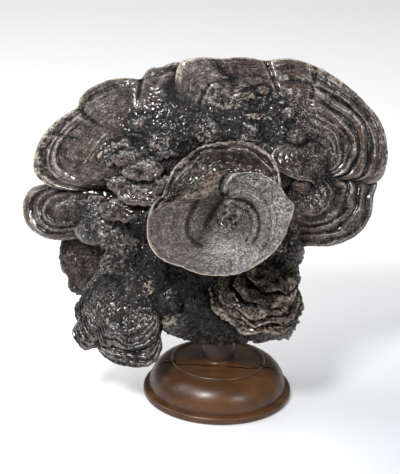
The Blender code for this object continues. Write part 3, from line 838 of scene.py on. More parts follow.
# %% Grow the old plates and the heart
PLATE_RIDGES = ((0.55, 1.4, 2.4), (0.72, 1.8, 2.2), (0.86, 1.6, 1.8))
PLATE_OUTLINE = ((0, 42), (45, 38), (90, 38), (135, 44), (170, 52), (200, 58), (221, 55), (235, 52),
                 (250, 56), (272, 52), (296, 54), (318, 50), (340, 46))
# Each plate is (seat, nod, size beside the lowest).
PLATES = (((43, -75, 11), 36, 1.00), ((45, -71, 16), 36, 0.88), ((40, -68, 20), 42, 0.80),
          ((50, -63, 23), 38, 0.66), ((56, -50, 21), 34, 0.55))
old_plates = []
for order, (seat, nod, size) in enumerate(PLATES):
    old_plates.append(grow(
        f"old_plate_{order + 1}", seat=seat, nod=nod, turn=8, crown=-4, edge=3.0, stem=24, taper=1.3,
        segments=180, rings=60, seed=41 + order, ragged=0.045, ruffle=3.6, pale_edge=0.3,
        ridges=PLATE_RIDGES, outline=[(bearing, size * reach) for bearing, reach in PLATE_OUTLINE]))
core = grow(
    "core", seat=(0, -50, -8), crown=20, edge=30, stem=76, taper=0.8,
    segments=250, rings=120, seed=44, ragged=0.015, pale_edge=0.0,
    ridges=((0.5, 1.0, 6.0),),
    outline=((6, 86), (14, 90), (35, 98), (60, 112), (90, 120), (120, 115), (150, 108), (180, 100),
             (210, 96), (225, 89), (235, 94), (249, 91), (263, 88), (280, 86), (299, 94), (310, 103),
             (316, 108), (323, 99), (336, 92), (344, 74), (353, 78)))
for plate in old_plates:
    crusted(plate, rough=0.6, along=6.0, across=3.0, depth=3.6)
crusted(core, rough=1.0 - 0.6 * painted(core, "under"), across=3.8, along=3.8, depth=3.6)

# %% [markdown]
# ## Ledges, knobs and buds
# Small overhanging ledges step down beside the bowl, a few buds sit on the crown, and a tan knob on each
# side. Ledges are tiny brackets, and buds are small mounds.

# %% Add the ledges and buds
# Each ledge is (seat, reach, nod).
LEDGES = (((-86, 49, 20), 19, 42), ((-86, 24, 21), 22, 44), ((-108, 6, 15), 20, 44),
          ((-64, 34, 22), 15, 38), ((-68, 10, 18), 15, 46), ((-104, 60, 13), 14, 38),
          ((-108, 32, 12), 14, 44))
LEDGE_OUTLINE = ((0, 1.1), (60, 0.7), (120, 0.7), (180, 1.2), (230, 1.0), (270, 0.8), (310, 1.0))
LEDGE_RIDGES = ((0.45, 0.8, 1.4), (0.7, 0.9, 1.4))
ledges = []
for order, (seat, reach, nod) in enumerate(LEDGES):
    ledge = grow(f"ledge_{order + 1}", seat=seat, nod=nod, turn=-8, crown=3, edge=5, stem=18, segments=104,
                 rings=46, seed=60 + order, ragged=0.08, ruffle=2.0, pale_edge=0.2, ridges=LEDGE_RIDGES,
                 outline=[(bearing, part * reach) for bearing, part in LEDGE_OUTLINE])
    crusted(ledge, rough=0.4, along=4.0, across=2.6, depth=2.2)
    ledges.append(ledge)
buds = mound("buds", (
    ((20, 128, 10), (9, 6, 7)), ((35, 133, 9), (8, 6, 6)), ((62, 110, 11), (8, 7, 6)),
    ((72, 86, 12), (10, 9, 6)), ((28, 106, 12), (13, 4, 6)), ((-148, 6, -16), (10, 8, 8)),
    ((80, 36, 8), (10, 9, 8)), ((77, -86, 2), (9, 15, 9))), voxel=0.8, knob=2.6, depth=1.3)

# %% [markdown]
# ## The stand
# The stand is one turning, so it is a half profile spun round the axis. The profile repeats the sizes of
# its solid with rounder curves.

# %% Spin the stand
FOOT_RADIUS = 0.080
NECK_RADIUS = 0.018
NECK_ROUND = 0.0015
NECK_TOP = 0.0640
TENON_RADIUS = 0.007
TENON_TOP = 0.0895
CHAMFER = 0.0005
SPIN_STEPS = 160
SMOOTH_ANGLE = radians(50)


def arc(centre, radii, start, end, steps):
    """Points along an oval arc, angles in degrees, in the plane of the profile."""
    angles = np.radians(np.linspace(start, end, steps))
    return [(centre[0] + radii[0] * cos(angle), centre[1] + radii[1] * sin(angle)) for angle in angles]


def mesh_of(name, points, edges=(), faces=()):
    """A new piece from points with edges or faces."""
    piece = add_primitive("plane", name, size=0.01)
    piece.data.clear_geometry()
    piece.data.from_pydata(points, edges, faces)
    return piece


def edit_all(piece, *steps):
    """Run edit mode operators on all of a piece, each given with its settings."""
    pick(piece)
    bpy.ops.object.mode_set(mode="EDIT")
    for operator, settings in steps:
        bpy.ops.mesh.select_all(action="SELECT")
        operator(**settings)
    bpy.ops.object.mode_set(mode="OBJECT")


def shade_stand():
    """Smooth the turned surfaces and keep the corners."""
    pick(stand)
    bpy.ops.object.shade_smooth_by_angle(angle=SMOOTH_ANGLE)


# The profile runs from the tenon down: the neck and its foot, the dished top of the foot with its bead,
# the shoulder, the step and the toe. Its sizes are in metres.
profile = [(0.0, TENON_TOP), (TENON_RADIUS - CHAMFER, TENON_TOP), (TENON_RADIUS, TENON_TOP - CHAMFER),
           (TENON_RADIUS, NECK_TOP), (NECK_RADIUS - NECK_ROUND, NECK_TOP)]
profile += arc((NECK_RADIUS - NECK_ROUND, NECK_TOP - NECK_ROUND), (NECK_ROUND, NECK_ROUND), 90, 0, 5)
profile += arc((0.0202, 0.0437), (0.0022, 0.0027), 180, 270, 7)
profile += [(0.025, 0.0402), (0.032, 0.0388), (0.039, 0.0376), (0.0445, 0.0370), (0.0462, 0.0371)]
profile += arc((0.0487, 0.0376), (0.0019, 0.0019), 165, -30, 11)
profile += arc((0.0507, 0.0078), (0.0231, 0.0280), 88, 2, 26)
profile += [(0.0738, 0.0080), (0.0745, 0.0076)]
profile += arc((0.0772, 0.0047), (0.0028, 0.0028), 80, 0, 6)
profile += [(FOOT_RADIUS, 0.0012), (0.0795, 0.0003), (0.0789, 0.0), (0.0, 0.0)]

rungs = [(place, place + 1) for place in range(len(profile) - 1)]
stand = mesh_of("turned_stand", [(radius, 0.0, height) for radius, height in profile], edges=rungs)
whole_turn = {"steps": SPIN_STEPS, "angle": 2 * pi, "center": (0, 0, 0), "axis": (0, 0, 1)}
edit_all(stand,
         (bpy.ops.mesh.spin, whole_turn),
         (bpy.ops.mesh.remove_doubles, {"threshold": 0.00002}),
         (bpy.ops.mesh.normals_make_consistent, {"inside": False}))
shade_stand()
print("stand", len(stand.data.polygons), "faces")

# %% [markdown]
# ## The drying crack
# Wood shrinks most across its rings, and a foot this wide relieves itself with one long crack beside the
# neck. A thin jagged blade that follows the surface is cut out of the turning, which leaves real walls to
# catch the shadow.

# %% Cut the crack
# Points of the line are (right, back, width) in millimetres, and all lie in front of the axis. The depth
# is in millimetres too. Heights and radii of the foot are in metres, as in the profile.
CRACK_LINE = ((-64, -4, 1.2), (-58, -6, 2.6), (-53, -8.5, 3.6), (-48, -10.5, 4.4), (-44, -13.5, 3.4),
              (-38, -15.5, 2.4), (-32, -15.8, 2.2), (-26, -17.4, 2.0), (-21, -18.4, 2.0),
              (-14, -21.2, 2.0), (-6, -21.8, 2.0), (2, -21.4, 2.0), (10, -21.8, 2.0), (18, -20.6, 2.0),
              (25, -19.4, 2.2), (31, -19, 2.2), (37, -17, 2.4), (43, -15.2, 3.4), (47.5, -12, 4.4),
              (52, -10.5, 3.4), (57, -9.5, 2.2), (64, -8, 1.0))
CRACK_DEPTH = 4.0
CRACK_TOP = 0.044
END_STEPS = 4.0
END_DEPTH = 0.3
BLADE_HALF = 0.2
BLADE_LEAN = 1.6
FOOT_TOP = 0.041
FOOT_START = 0.024
FOOT_END = 0.074


def height_at(radius):
    """Height of the foot's surface at a radius, from the outer part of the profile."""
    outer = [(r, z) for r, z in profile if z < FOOT_TOP and FOOT_START < r < FOOT_END]
    radii, heights = zip(*outer)
    return float(np.interp(radius, radii, heights))


corners = []
for place, (right, back, opening) in enumerate(CRACK_LINE):
    end = min(place, len(CRACK_LINE) - 1 - place) / END_STEPS
    width = opening * MM
    bottom = height_at(np.hypot(right, back) * MM) - CRACK_DEPTH * min(1.0, END_DEPTH + end) * MM
    for side, level in ((-BLADE_HALF, bottom), (BLADE_HALF, bottom), (BLADE_HALF, CRACK_TOP),
                        (-BLADE_LEAN, CRACK_TOP)):
        corners.append((right * MM, back * MM + side * width, level))
quads = [(0, 1, 2, 3), tuple(len(corners) - 1 - k for k in range(4))]
for place in range(len(CRACK_LINE) - 1):
    for side in range(4):
        first, second = 4 * place + side, 4 * place + (side + 1) % 4
        quads.append((first, first + 4, second + 4, second))
blade = mesh_of("crack_blade", corners, faces=quads)
edit_all(blade, (bpy.ops.mesh.normals_make_consistent, {"inside": False}))
apply_modifier(stand, "BOOLEAN", object=blade, operation="DIFFERENCE", solver="EXACT")
bpy.data.objects.remove(blade)
shade_stand()
print("stand", len(stand.data.polygons), "faces")

# %% [markdown]
# ## The crack's own faces
# The walls of the crack take a nearly black material, as painted shade, so their faces are found by
# their place: near the line and under the surface. The limits are in millimetres.

# %% Find the crack's walls
CRACK_REACH = 6.0
CRACK_ENDS = 64.0
WALL_BOTTOM = 20.0
WALL_START = 0.35
line = np.array(CRACK_LINE, dtype=float)
crack_faces = []
for face in stand.data.polygons:
    right, back, level = face.center / MM
    sideways = abs(back - np.interp(right, line[:, 0], line[:, 1]))
    near = sideways < CRACK_REACH and abs(right) < CRACK_ENDS and level > WALL_BOTTOM
    if near and height_at(np.hypot(right, back) * MM) / MM - level > WALL_START:
        crack_faces.append(face.index)
print(len(crack_faces), "faces are in the crack")

# %% [markdown]
# ## Painted shade in the hollows
# Hollows, and the places where two brackets meet, are painted darker as painted shade. A hollow is where a
# vertex lies below the mean of its neighbours. A meeting is where another piece's vertices share a small
# box of space. Both are worked out once the shapes are done, and painted on.

# %% Find hollows and meetings
GRID = 3.0
GRID_SIDE = 1000
FINE_HOLLOW = 0.22
BROAD_HOLLOW = 1.3


def neighbour_mean(piece, values, times):
    """Average values over neighbouring vertices, several times."""
    links = np.empty(len(piece.data.edges) * 2, dtype=int)
    piece.data.edges.foreach_get("vertices", links)
    links = links.reshape(-1, 2)
    count = len(piece.data.vertices)
    weights = np.bincount(links.ravel(), minlength=count) + 1.0
    values = values.reshape(count, -1)
    for _ in range(times):
        total = [column + np.bincount(links[:, 0], column[links[:, 1]], count)
                 + np.bincount(links[:, 1], column[links[:, 0]], count) for column in values.T]
        values = np.stack(total, axis=1) / weights[:, None]
    return values


def paint_hollows(piece):
    """Paint how far each vertex lies in a hollow: 0 on a knob, 1 at the bottom of a crease."""
    points, normals = read_points(piece), read_points(piece, "normal")
    fine = np.sum((neighbour_mean(piece, points, 2) - points) * normals, axis=1) / (FINE_HOLLOW * MM)
    broad = np.sum((neighbour_mean(piece, points, 14) - points) * normals, axis=1) / (BROAD_HOLLOW * MM)
    paint(piece, "hollow", np.clip(0.5 + 0.3 * fine + 0.3 * broad, 0.0, 1.0))


def grid_keys(piece):
    """The small box of space that holds each vertex, as one whole number."""
    cells = np.floor(specimen_places(read_points(piece)) / GRID).astype(np.int64) + GRID_SIDE // 2
    return (cells[:, 0] * GRID_SIDE + cells[:, 1]) * GRID_SIDE + cells[:, 2]


def paint_meetings(pieces):
    """Paint how close each vertex is to another piece."""
    keys = [grid_keys(piece) for piece in pieces]
    about = (-1, 0, 1)
    steps = [(a * GRID_SIDE + b) * GRID_SIDE + c for a in about for b in about for c in about]
    for order, piece in enumerate(pieces):
        others = np.unique(np.concatenate([key for place, key in enumerate(keys) if place != order]))
        near = sum(np.isin(keys[order] + step, others) for step in steps) / 9.0
        paint(piece, "meeting", neighbour_mean(piece, np.clip(near, 0.0, 1.0), 3)[:, 0])


growth = [fan_left, crown_lobe, fan_right, lobe_right, inner_right, lobe_left, lobe_beside, plate_left,
          fan_low, fan_low_upper, fan_low_scallop, bowl, bowl_step, front_disc, *old_plates, core,
          *ledges, upper_mound, left_mound, heel_mound, buds]
for piece in growth:
    paint_hollows(piece)
paint_meetings(growth)
# The ledges are small and meet others all round, and nothing rests on the middle of the disc.
for ledge in ledges:
    paint(ledge, "meeting", 0.5 * painted(ledge, "meeting"))
inside_disc = oval(specimen_places(read_points(front_disc)), (12, -4), (46, 40), 0.2)
paint(front_disc, "meeting", painted(front_disc, "meeting") * (1.0 - inside_disc))
faces = sum(len(piece.data.polygons) for piece in growth)
print("the growth has", faces, "faces in", len(growth), "pieces")

# %% [markdown]
# ## Writing shader maths as sums
# Node maths is easier to read as sums. One small class wraps a socket and knows plus, minus and times,
# and one method makes every other node from its type, its settings and its inputs.

# %% Sockets that add and multiply
class Flow:
    """The output of a node, which can be used in sums."""

    def __init__(self, recipe, socket):
        self.recipe = recipe
        self.socket = socket

    def maths(self, operation, *others):
        """A Math node on this value."""
        values = dict(enumerate((self, *others)))
        return self.recipe.node("ShaderNodeMath", {"operation": operation}, values)

    def __add__(self, other):
        return self.maths("ADD", other)

    def __sub__(self, other):
        return self.maths("SUBTRACT", other)

    def __rsub__(self, other):
        return self.recipe.node("ShaderNodeMath", {"operation": "SUBTRACT"}, {0: other, 1: self})

    def __mul__(self, other):
        return self.maths("MULTIPLY", other)

    __radd__ = __add__
    __rmul__ = __mul__


class Recipe:
    """The node tree of one material."""

    def __init__(self, name):
        self.material = bpy.data.materials.new(name)
        self.material.use_nodes = True
        self.tree = self.material.node_tree
        self.surface = self.tree.nodes["Principled BSDF"]
        self.colour = None

    def node(self, kind, settings=None, values=None, output=0):
        """Any node: its settings first, then the values or links of its sockets."""
        made = self.tree.nodes.new(kind)
        for setting, value in (settings or {}).items():
            setattr(made, setting, value)
        for place, value in (values or {}).items():
            self.feed(made.inputs[place], value)
        return Flow(self, made.outputs[output])

    def feed(self, socket, value):
        """Link a socket, or set its value."""
        if isinstance(value, Flow):
            self.tree.links.new(value.socket, socket)
        elif isinstance(value, tuple) and len(value) == 3 and socket.type == "RGBA":
            socket.default_value = (*value, 1.0)
        else:
            socket.default_value = value

    def painted(self, name, output="Fac"):
        """What paint stored on the vertices."""
        return self.node("ShaderNodeAttribute", {"attribute_name": name}, output=output)

    def places(self):
        """Object coordinates, in metres."""
        return self.node("ShaderNodeTexCoord", output="Object")

    def noise(self, vector, scale, detail=3.0, roughness=0.55, distortion=0.0):
        """Cloudy noise between 0 and 1."""
        return self.node("ShaderNodeTexNoise", values={"Vector": vector, "Scale": scale, "Detail": detail,
                                                       "Roughness": roughness, "Distortion": distortion})

    def cells(self, vector, scale):
        """Distance to the middle of the nearest cell."""
        return self.node("ShaderNodeTexVoronoi", {}, {"Vector": vector, "Scale": scale}, output="Distance")

    def ramp(self, value, low, high, start=0.0, end=1.0):
        """A smooth ramp of a value."""
        limits = {"From Min": low, "From Max": high, "To Min": start, "To Max": end}
        return self.node("ShaderNodeMapRange", {"interpolation_type": "SMOOTHSTEP"},
                         {"Value": value, **limits})

    def blend(self, mask, under, over):
        """One colour over another, where the mask says."""
        return self.node("ShaderNodeMix", {"data_type": "RGBA"}, {0: mask, 6: under, 7: over}, output=2)

    def lay(self, mask, colour):
        """Lay a colour over all that was laid before, where the mask says."""
        self.colour = self.blend(mask, self.colour, colour)

    def stretch(self, vector, amounts):
        """A vector with each part scaled."""
        return self.node("ShaderNodeVectorMath", {"operation": "MULTIPLY"}, {0: vector, 1: amounts})

    def bump(self, height, distance):
        """Turn a height between 0 and 1 into a surface normal."""
        return self.node("ShaderNodeBump", {}, {"Strength": 1.0, "Distance": distance, "Height": height},
                         output="Normal")

    def finish(self, **sockets):
        """Feed the Principled node."""
        for name, value in sockets.items():
            self.feed(self.surface.inputs[name.replace("_", " ")], value)
        return self.material


print("shader helpers are ready")

# %% [markdown]
# ## The crust
# The crust is nearly black in its hollows, where it is painted shade, and grey-brown on its ridges, which
# are lighter with wear and painted highlight. A lacquer-like coat breaks into small sparks on the knobs.
# Noise in several sizes sets the colour, the painted hollows and meetings darken it as painted shade, and
# fine radial grain comes from the painted bearing, which has no seam. The margin is pale and dull.

# %% Mix the crust
BROWN_WASH = (0.105, 0.055, 0.039)
CRUST_BUMP = 0.0025


def crust_material(name, dark, mid, warm, cool, worn_and_highlight, pale, lacquer=1.0, nodule=1.0, scorch=0.4,
                   ringed=1.0):
    """Ridged, knobbly crust. Lacquer is its gloss, nodule the height of its grains, scorch the share of
    dark blotches, and ringed how strongly the rings show where the ridges don't."""
    mix = Recipe(name)
    place = mix.places()
    ring_place = mix.painted("grain", "Vector")
    crest, shown, hollow = mix.painted("crest"), mix.painted("shown"), mix.painted("hollow")
    rough, comb, soot = mix.painted("rough"), mix.painted("comb"), mix.painted("soot")
    broad = mix.noise(place, 22.0, 4.0)
    blotch = mix.noise(place, 48.0, 4.0, 0.65)
    patch = mix.noise(place, 70.0, 5.0, 0.65)
    fleck = mix.noise(place, 260.0, 3.0, 0.6)
    speck = mix.noise(place, 470.0, 3.0, 0.7)
    pebble = mix.cells(place, 300.0)
    grain = mix.noise(mix.stretch(ring_place, (58.0, 58.0, 9.0)), 1.0, 3.0, 0.65)
    lines = mix.noise(mix.stretch(ring_place, (9.0, 9.0, 70.0)), 1.0, 2.0, 0.6)
    lines = 0.5 + (lines - 0.5) * (ringed + shown * (1.0 - ringed))
    relief = (1.0 - hollow) * 0.75 + crest * 0.25 + patch * 0.5 + lines * 0.35

    # From painted shade in the hollows up to ridges lighter with wear and painted highlight.
    body = mix.blend(mix.ramp(broad, 0.44, 0.56), mid, warm)
    body = mix.blend(mix.ramp(fleck, 0.5, 0.62) * 0.5, body, cool)
    mix.colour = mix.blend(mix.ramp(relief, 0.68, 1.16), dark, body)
    mix.lay(mix.ramp(relief, 1.1, 1.45) * mix.ramp(speck, 0.38, 0.56), worn_and_highlight)
    # Lighter ring lines, which are partly painted glints.
    mix.lay(mix.ramp(lines, 0.56, 0.66) * mix.ramp(patch, 0.46, 0.6) * 0.7, worn_and_highlight)
    # Grains and pits.
    mix.lay(mix.ramp(speck, 0.5, 0.62) * (0.35 + 0.5 * rough), dark)
    mix.lay(mix.ramp(fleck * 0.7 + patch * 0.3, 0.57, 0.62) * (0.25 + 0.5 * rough), worn_and_highlight)
    mix.lay(mix.ramp(pebble, 0.5, 0.85) * (0.25 + 0.6 * rough), dark)
    mix.lay(mix.ramp(grain, 0.5, 0.66) * (0.1 + 0.6 * shown), dark)
    # Washes, scorches, painted shade where pieces meet, soot and painted shadow, and the pale margin.
    mix.lay(mix.painted("brown") * mix.ramp(patch, 0.38, 0.56), BROWN_WASH)
    mix.lay(mix.ramp(blotch, 0.5, 0.58) * scorch, dark)
    mix.lay(mix.ramp(mix.painted("meeting") + patch * 0.4, 0.55, 1.2) * 0.9, dark)
    mix.lay(soot, dark)
    edge = mix.ramp(mix.painted("edge") + patch * 1.2 - 0.66, 0.3, 0.7)
    mix.lay(edge * 0.85, pale)
    mix.lay(mix.painted("pale") * mix.ramp(fleck, 0.48, 0.57), pale)

    gloss = mix.ramp(patch * 0.5 + broad * 0.5, 0.4, 0.54) * lacquer * (1.0 - edge) * (1.0 - soot * 0.65)
    gloss = gloss * mix.ramp(speck * 0.6 + fleck * 0.4, 0.54, 0.44, 0.4, 1.2)
    height = (1.0 - mix.ramp(pebble, 0.0, 0.8)) * 0.5 * nodule + speck * (0.6 * nodule)
    height = height + grain * (0.2 + 0.7 * shown + 0.9 * comb) + lines * (0.9 - 0.6 * comb)
    return mix.finish(Base_Color=mix.colour, Roughness=mix.ramp(gloss, 0.0, 1.0, 0.5, 0.24),
                      Specular_IOR_Level=0.16, Coat_Weight=gloss, Coat_Roughness=0.15,
                      Normal=mix.bump(height, CRUST_BUMP))


crust = crust_material(
    "crust", dark=(0.004, 0.0035, 0.004), mid=(0.125, 0.105, 0.092), warm=(0.104, 0.066, 0.049),
    cool=(0.07, 0.075, 0.092), worn_and_highlight=(0.52, 0.48, 0.43), pale=(0.42, 0.365, 0.285), scorch=0.32)
smooth_crust = crust_material(
    "smooth_crust", dark=(0.01, 0.007, 0.007), mid=(0.06, 0.044, 0.04), warm=(0.065, 0.034, 0.028),
    cool=(0.055, 0.047, 0.052), worn_and_highlight=(0.13, 0.10, 0.085), pale=(0.26, 0.20, 0.14), lacquer=0.8, nodule=0.5)
weathered = crust_material(
    "weathered_crust", dark=(0.004, 0.003, 0.0025), mid=(0.18, 0.138, 0.105), warm=(0.075, 0.048, 0.034),
    cool=(0.05, 0.042, 0.036), worn_and_highlight=(0.47, 0.39, 0.32), pale=(0.46, 0.37, 0.29), lacquer=0.8, scorch=0.7)
dull = crust_material(
    "dull_crust", dark=(0.005, 0.0045, 0.005), mid=(0.10, 0.09, 0.082), warm=(0.08, 0.058, 0.048),
    cool=(0.058, 0.064, 0.088), worn_and_highlight=(0.34, 0.32, 0.30), pale=(0.36, 0.33, 0.28), lacquer=0.55, ringed=0.2)
# The pale of this crust lies on the ledges' backs as painted highlight.
glossy = crust_material(
    "glossy_crust", dark=(0.004, 0.0035, 0.004), mid=(0.12, 0.098, 0.085), warm=(0.10, 0.062, 0.046),
    cool=(0.08, 0.085, 0.10), worn_and_highlight=(0.42, 0.39, 0.36), pale=(0.60, 0.585, 0.56), lacquer=2.2, nodule=0.35,
    scorch=0.45)
print("mixed:", crust.name, smooth_crust.name, weathered.name, dull.name, glossy.name)

# %% [markdown]
# ## The grey disc
# The disc has a dusty bloom: grey on its right, brown on its left, with fine radial streaks towards the
# margin and a thin cream edge. It is layered as the crust is, with tones of its own, and its brown side
# is painted on. Its hollows, grooves and meetings are painted darker as painted shade, and pale patches
# over the bloom are painted highlights. A mottle that follows the rings breaks every tone into grains.

# %% Mix the grey face
DISC_TONES = {
    "dusty hollow": (0.035, 0.034, 0.034), "dust": (0.19, 0.185, 0.178), "worn dust": (0.44, 0.43, 0.41),
    "brown hollow": (0.007, 0.005, 0.0045), "brown": (0.088, 0.059, 0.044), "fold": (0.03, 0.021, 0.022),
    "dark patch": (0.024, 0.021, 0.02), "tan patch": (0.22, 0.185, 0.155),
    "dark zone": (0.028, 0.024, 0.022), "dark mottle": (0.018, 0.014, 0.013),
    "grey mottle": (0.36, 0.34, 0.315), "tan mottle": (0.26, 0.21, 0.17),
    "dark speck": (0.02, 0.018, 0.017), "dark streak": (0.03, 0.026, 0.024),
    "pale streak": (0.38, 0.37, 0.35), "bloom": (0.50, 0.49, 0.47), "knot pit": (0.02, 0.017, 0.016),
    "knot grain": (0.36, 0.35, 0.33), "meeting": (0.012, 0.01, 0.01), "soot": (0.008, 0.007, 0.007),
    "margin": (0.42, 0.37, 0.29)}
DISC_BUMP = 0.002


def disc_material(tones):
    """Dusty grey growth zones with radial streaks."""
    mix = Recipe("grey_face")
    place = mix.places()
    ring_place = mix.painted("grain", "Vector")
    rough, crest, hollow = mix.painted("rough"), mix.painted("crest"), mix.painted("hollow")
    brown = mix.painted("brown")
    clean = 1.0 - brown
    patch = mix.noise(place, 80.0, 5.0, 0.65)
    speck = mix.noise(place, 480.0, 3.0, 0.7)
    streak = mix.noise(mix.stretch(ring_place, (34.0, 34.0, 3.0)), 1.0, 5.0, 0.7)
    rings = mix.noise(mix.stretch(ring_place, (1.5, 1.5, 46.0)), 1.0, 4.0, 0.6)
    zones = mix.ramp(mix.noise(mix.stretch(ring_place, (2.2, 2.2, 17.0)), 1.0, 3.0, 0.6), 0.46, 0.56)
    mottle = mix.noise(mix.stretch(ring_place, (17.0, 17.0, 58.0)), 1.0, 3.0, 0.65) * 0.75
    mottle = mottle + mix.noise(place, 300.0) * 0.25

    # The grey and the brown side, each darker in its hollows as painted shade, and their zones.
    lit = mix.ramp(rings * 0.5 + patch * 0.5 + (1.0 - hollow) * 0.4, 0.5, 0.82)
    grey = mix.blend(lit, tones["dusty hollow"], tones["dust"])
    grey = mix.blend(mix.ramp(rings * 0.5 + patch * 0.5, 0.54, 0.64) * 0.85, grey, tones["worn dust"])
    mix.colour = mix.blend(brown, grey, mix.blend(lit, tones["brown hollow"], tones["brown"]))
    mix.lay(mix.ramp(patch, 0.5, 0.57) * (0.4 + 0.35 * brown), tones["dark patch"])
    mix.lay(mix.ramp(patch, 0.47, 0.38) * brown * 0.55, tones["tan patch"])
    mix.lay(zones * (0.5 + 0.2 * brown), tones["dark zone"])
    mix.lay(mix.painted("fold") * 0.85, tones["fold"])
    # Mottle, grains and streaks.
    mix.lay(mix.ramp(mottle, 0.49, 0.55) * 0.85, tones["dark mottle"])
    mix.lay(mix.ramp(mottle, 0.47, 0.39) * (clean * 0.45 + 0.1), tones["grey mottle"])
    mix.lay(mix.ramp(mottle, 0.47, 0.40) * brown * 0.6, tones["tan mottle"])
    mix.lay(mix.ramp(speck, 0.5, 0.62) * 0.5, tones["dark speck"])
    mix.lay(mix.ramp(streak, 0.45, 0.36) * (0.2 + 0.3 * clean), tones["pale streak"])
    # Painted pale: the head rim, the knot's grains, and patches on the right that are painted highlights.
    mix.lay(mix.painted("pale") * mix.ramp(mottle, 0.56, 0.42), tones["bloom"])
    mix.lay(mix.ramp(streak, 0.54, 0.64) * 0.8, tones["dark streak"])
    # Grooves below the crests are painted darker as painted shade.
    mix.lay((1.0 - mix.ramp(crest, 0.0, 0.5)) * 0.6, tones["dark streak"])
    # The knot, painted shade where pieces meet, soot and painted shade in the grooves, and the margin.
    mix.lay(rough * mix.ramp(speck, 0.45, 0.6) * 0.8, tones["knot pit"])
    mix.lay(rough * mix.ramp(speck, 0.42, 0.34) * 0.8, tones["knot grain"])
    mix.lay(mix.ramp(mix.painted("meeting") + patch * 0.4, 0.7, 1.3), tones["meeting"])
    mix.lay(mix.painted("soot"), tones["soot"])
    mix.lay(mix.ramp(mix.painted("edge") + patch * 1.3 - 0.65, 0.35, 0.7) * 0.9, tones["margin"])

    height = streak * 0.9 + speck * 0.5 + rings * 0.9 + mottle * 0.5
    sheen = mix.ramp(patch, 0.35, 0.65, 0.24, 0.5) * (1.0 - mix.painted("fold") * 0.35)
    return mix.finish(Base_Color=mix.colour, Roughness=sheen, Normal=mix.bump(height, DISC_BUMP))


grey_face = disc_material(DISC_TONES)
print("mixed:", grey_face.name)

# %% [markdown]
# ## The pore surface and the wood
# Undersides carry pores a fraction of a millimetre wide on umber flesh, their mouths painted dark as
# painted shade. The stand is waxed side-grain wood, so its streaks run along X, the way that the crack
# runs. Its neck is painted darker, partly dirt and partly painted shade, and the walls of the crack are
# painted nearly black as painted shade.

# %% Mix the pores and the wood
UMBER_DARK, UMBER, PORE_DEPTH = (0.045, 0.03, 0.021), (0.14, 0.10, 0.066), (0.014, 0.009, 0.007)
WOOD_DARK, WOOD_LIGHT = (0.042, 0.0175, 0.0067), (0.083, 0.036, 0.013)
FIBRE, WOOD_PORE, NECK_DIRT_AND_SHADE = (0.046, 0.019, 0.008), (0.022, 0.009, 0.005), (0.018, 0.007, 0.005)
CRACK_SHADE_DARK, CRACK_SHADE_LIGHT = (0.004, 0.002, 0.001), (0.010, 0.005, 0.003)


def pore_material():
    """Matte umber with pores."""
    mix = Recipe("pore_surface")
    place = mix.places()
    patch = mix.noise(place, 26.0, 5.0, 0.6)
    pore = mix.cells(place, 900.0)
    mix.colour = mix.blend(mix.ramp(patch, 0.35, 0.65), UMBER_DARK, UMBER)
    # Pore mouths are painted darker as painted shade.
    mix.lay(1.0 - mix.ramp(pore, 0.1, 0.45), PORE_DEPTH)
    height = mix.ramp(pore, 0.1, 0.6) * 0.4 + patch * 0.8
    return mix.finish(Base_Color=mix.colour, Roughness=0.85, Normal=mix.bump(height, 0.0006))


def wood_material():
    """Turned hardwood under old wax."""
    mix = Recipe("turned_wood")
    place = mix.places()
    fibre = mix.noise(mix.stretch(place, (9.0, 160.0, 160.0)), 1.0, 5.0, 0.6, 0.4)
    bands = mix.noise(mix.stretch(place, (3.0, 34.0, 26.0)), 1.0, 3.0, 0.5, 1.2)
    pore = mix.noise(mix.stretch(place, (60.0, 1300.0, 1300.0)), 1.0, 2.0, 0.5)
    level = mix.node("ShaderNodeSeparateXYZ", {}, {"Vector": place}, output="Z")
    mix.colour = mix.blend(mix.ramp(bands, 0.35, 0.65), WOOD_DARK, WOOD_LIGHT)
    mix.lay(mix.ramp(fibre, 0.45, 0.7) * 0.6, FIBRE)
    mix.lay(mix.ramp(pore, 0.62, 0.72) * 0.6, WOOD_PORE)
    # The neck is painted darker, partly dirt and partly painted shade.
    mix.lay(mix.ramp(level, 0.0395, 0.046) * 0.65, NECK_DIRT_AND_SHADE)
    sheen = mix.ramp(fibre, 0.3, 0.7, 0.28, 0.42)
    return mix.finish(Base_Color=mix.colour, Roughness=sheen, Specular_IOR_Level=0.38,
                      Normal=mix.bump(pore * -0.2 + fibre * 0.2, 0.0004))


def crack_shade_material():
    """Nearly black wood inside the crack, as painted shade."""
    mix = Recipe("crack_shade_wood")
    fibre = mix.noise(mix.stretch(mix.places(), (20.0, 400.0, 400.0)), 1.0, 3.0)
    return mix.finish(Base_Color=mix.blend(fibre, CRACK_SHADE_DARK, CRACK_SHADE_LIGHT), Roughness=0.9,
                      Specular_IOR_Level=0.1)


pores = pore_material()
wood = wood_material()
crack_shade_wood = crack_shade_material()
print("mixed:", pores.name, wood.name, crack_shade_wood.name)
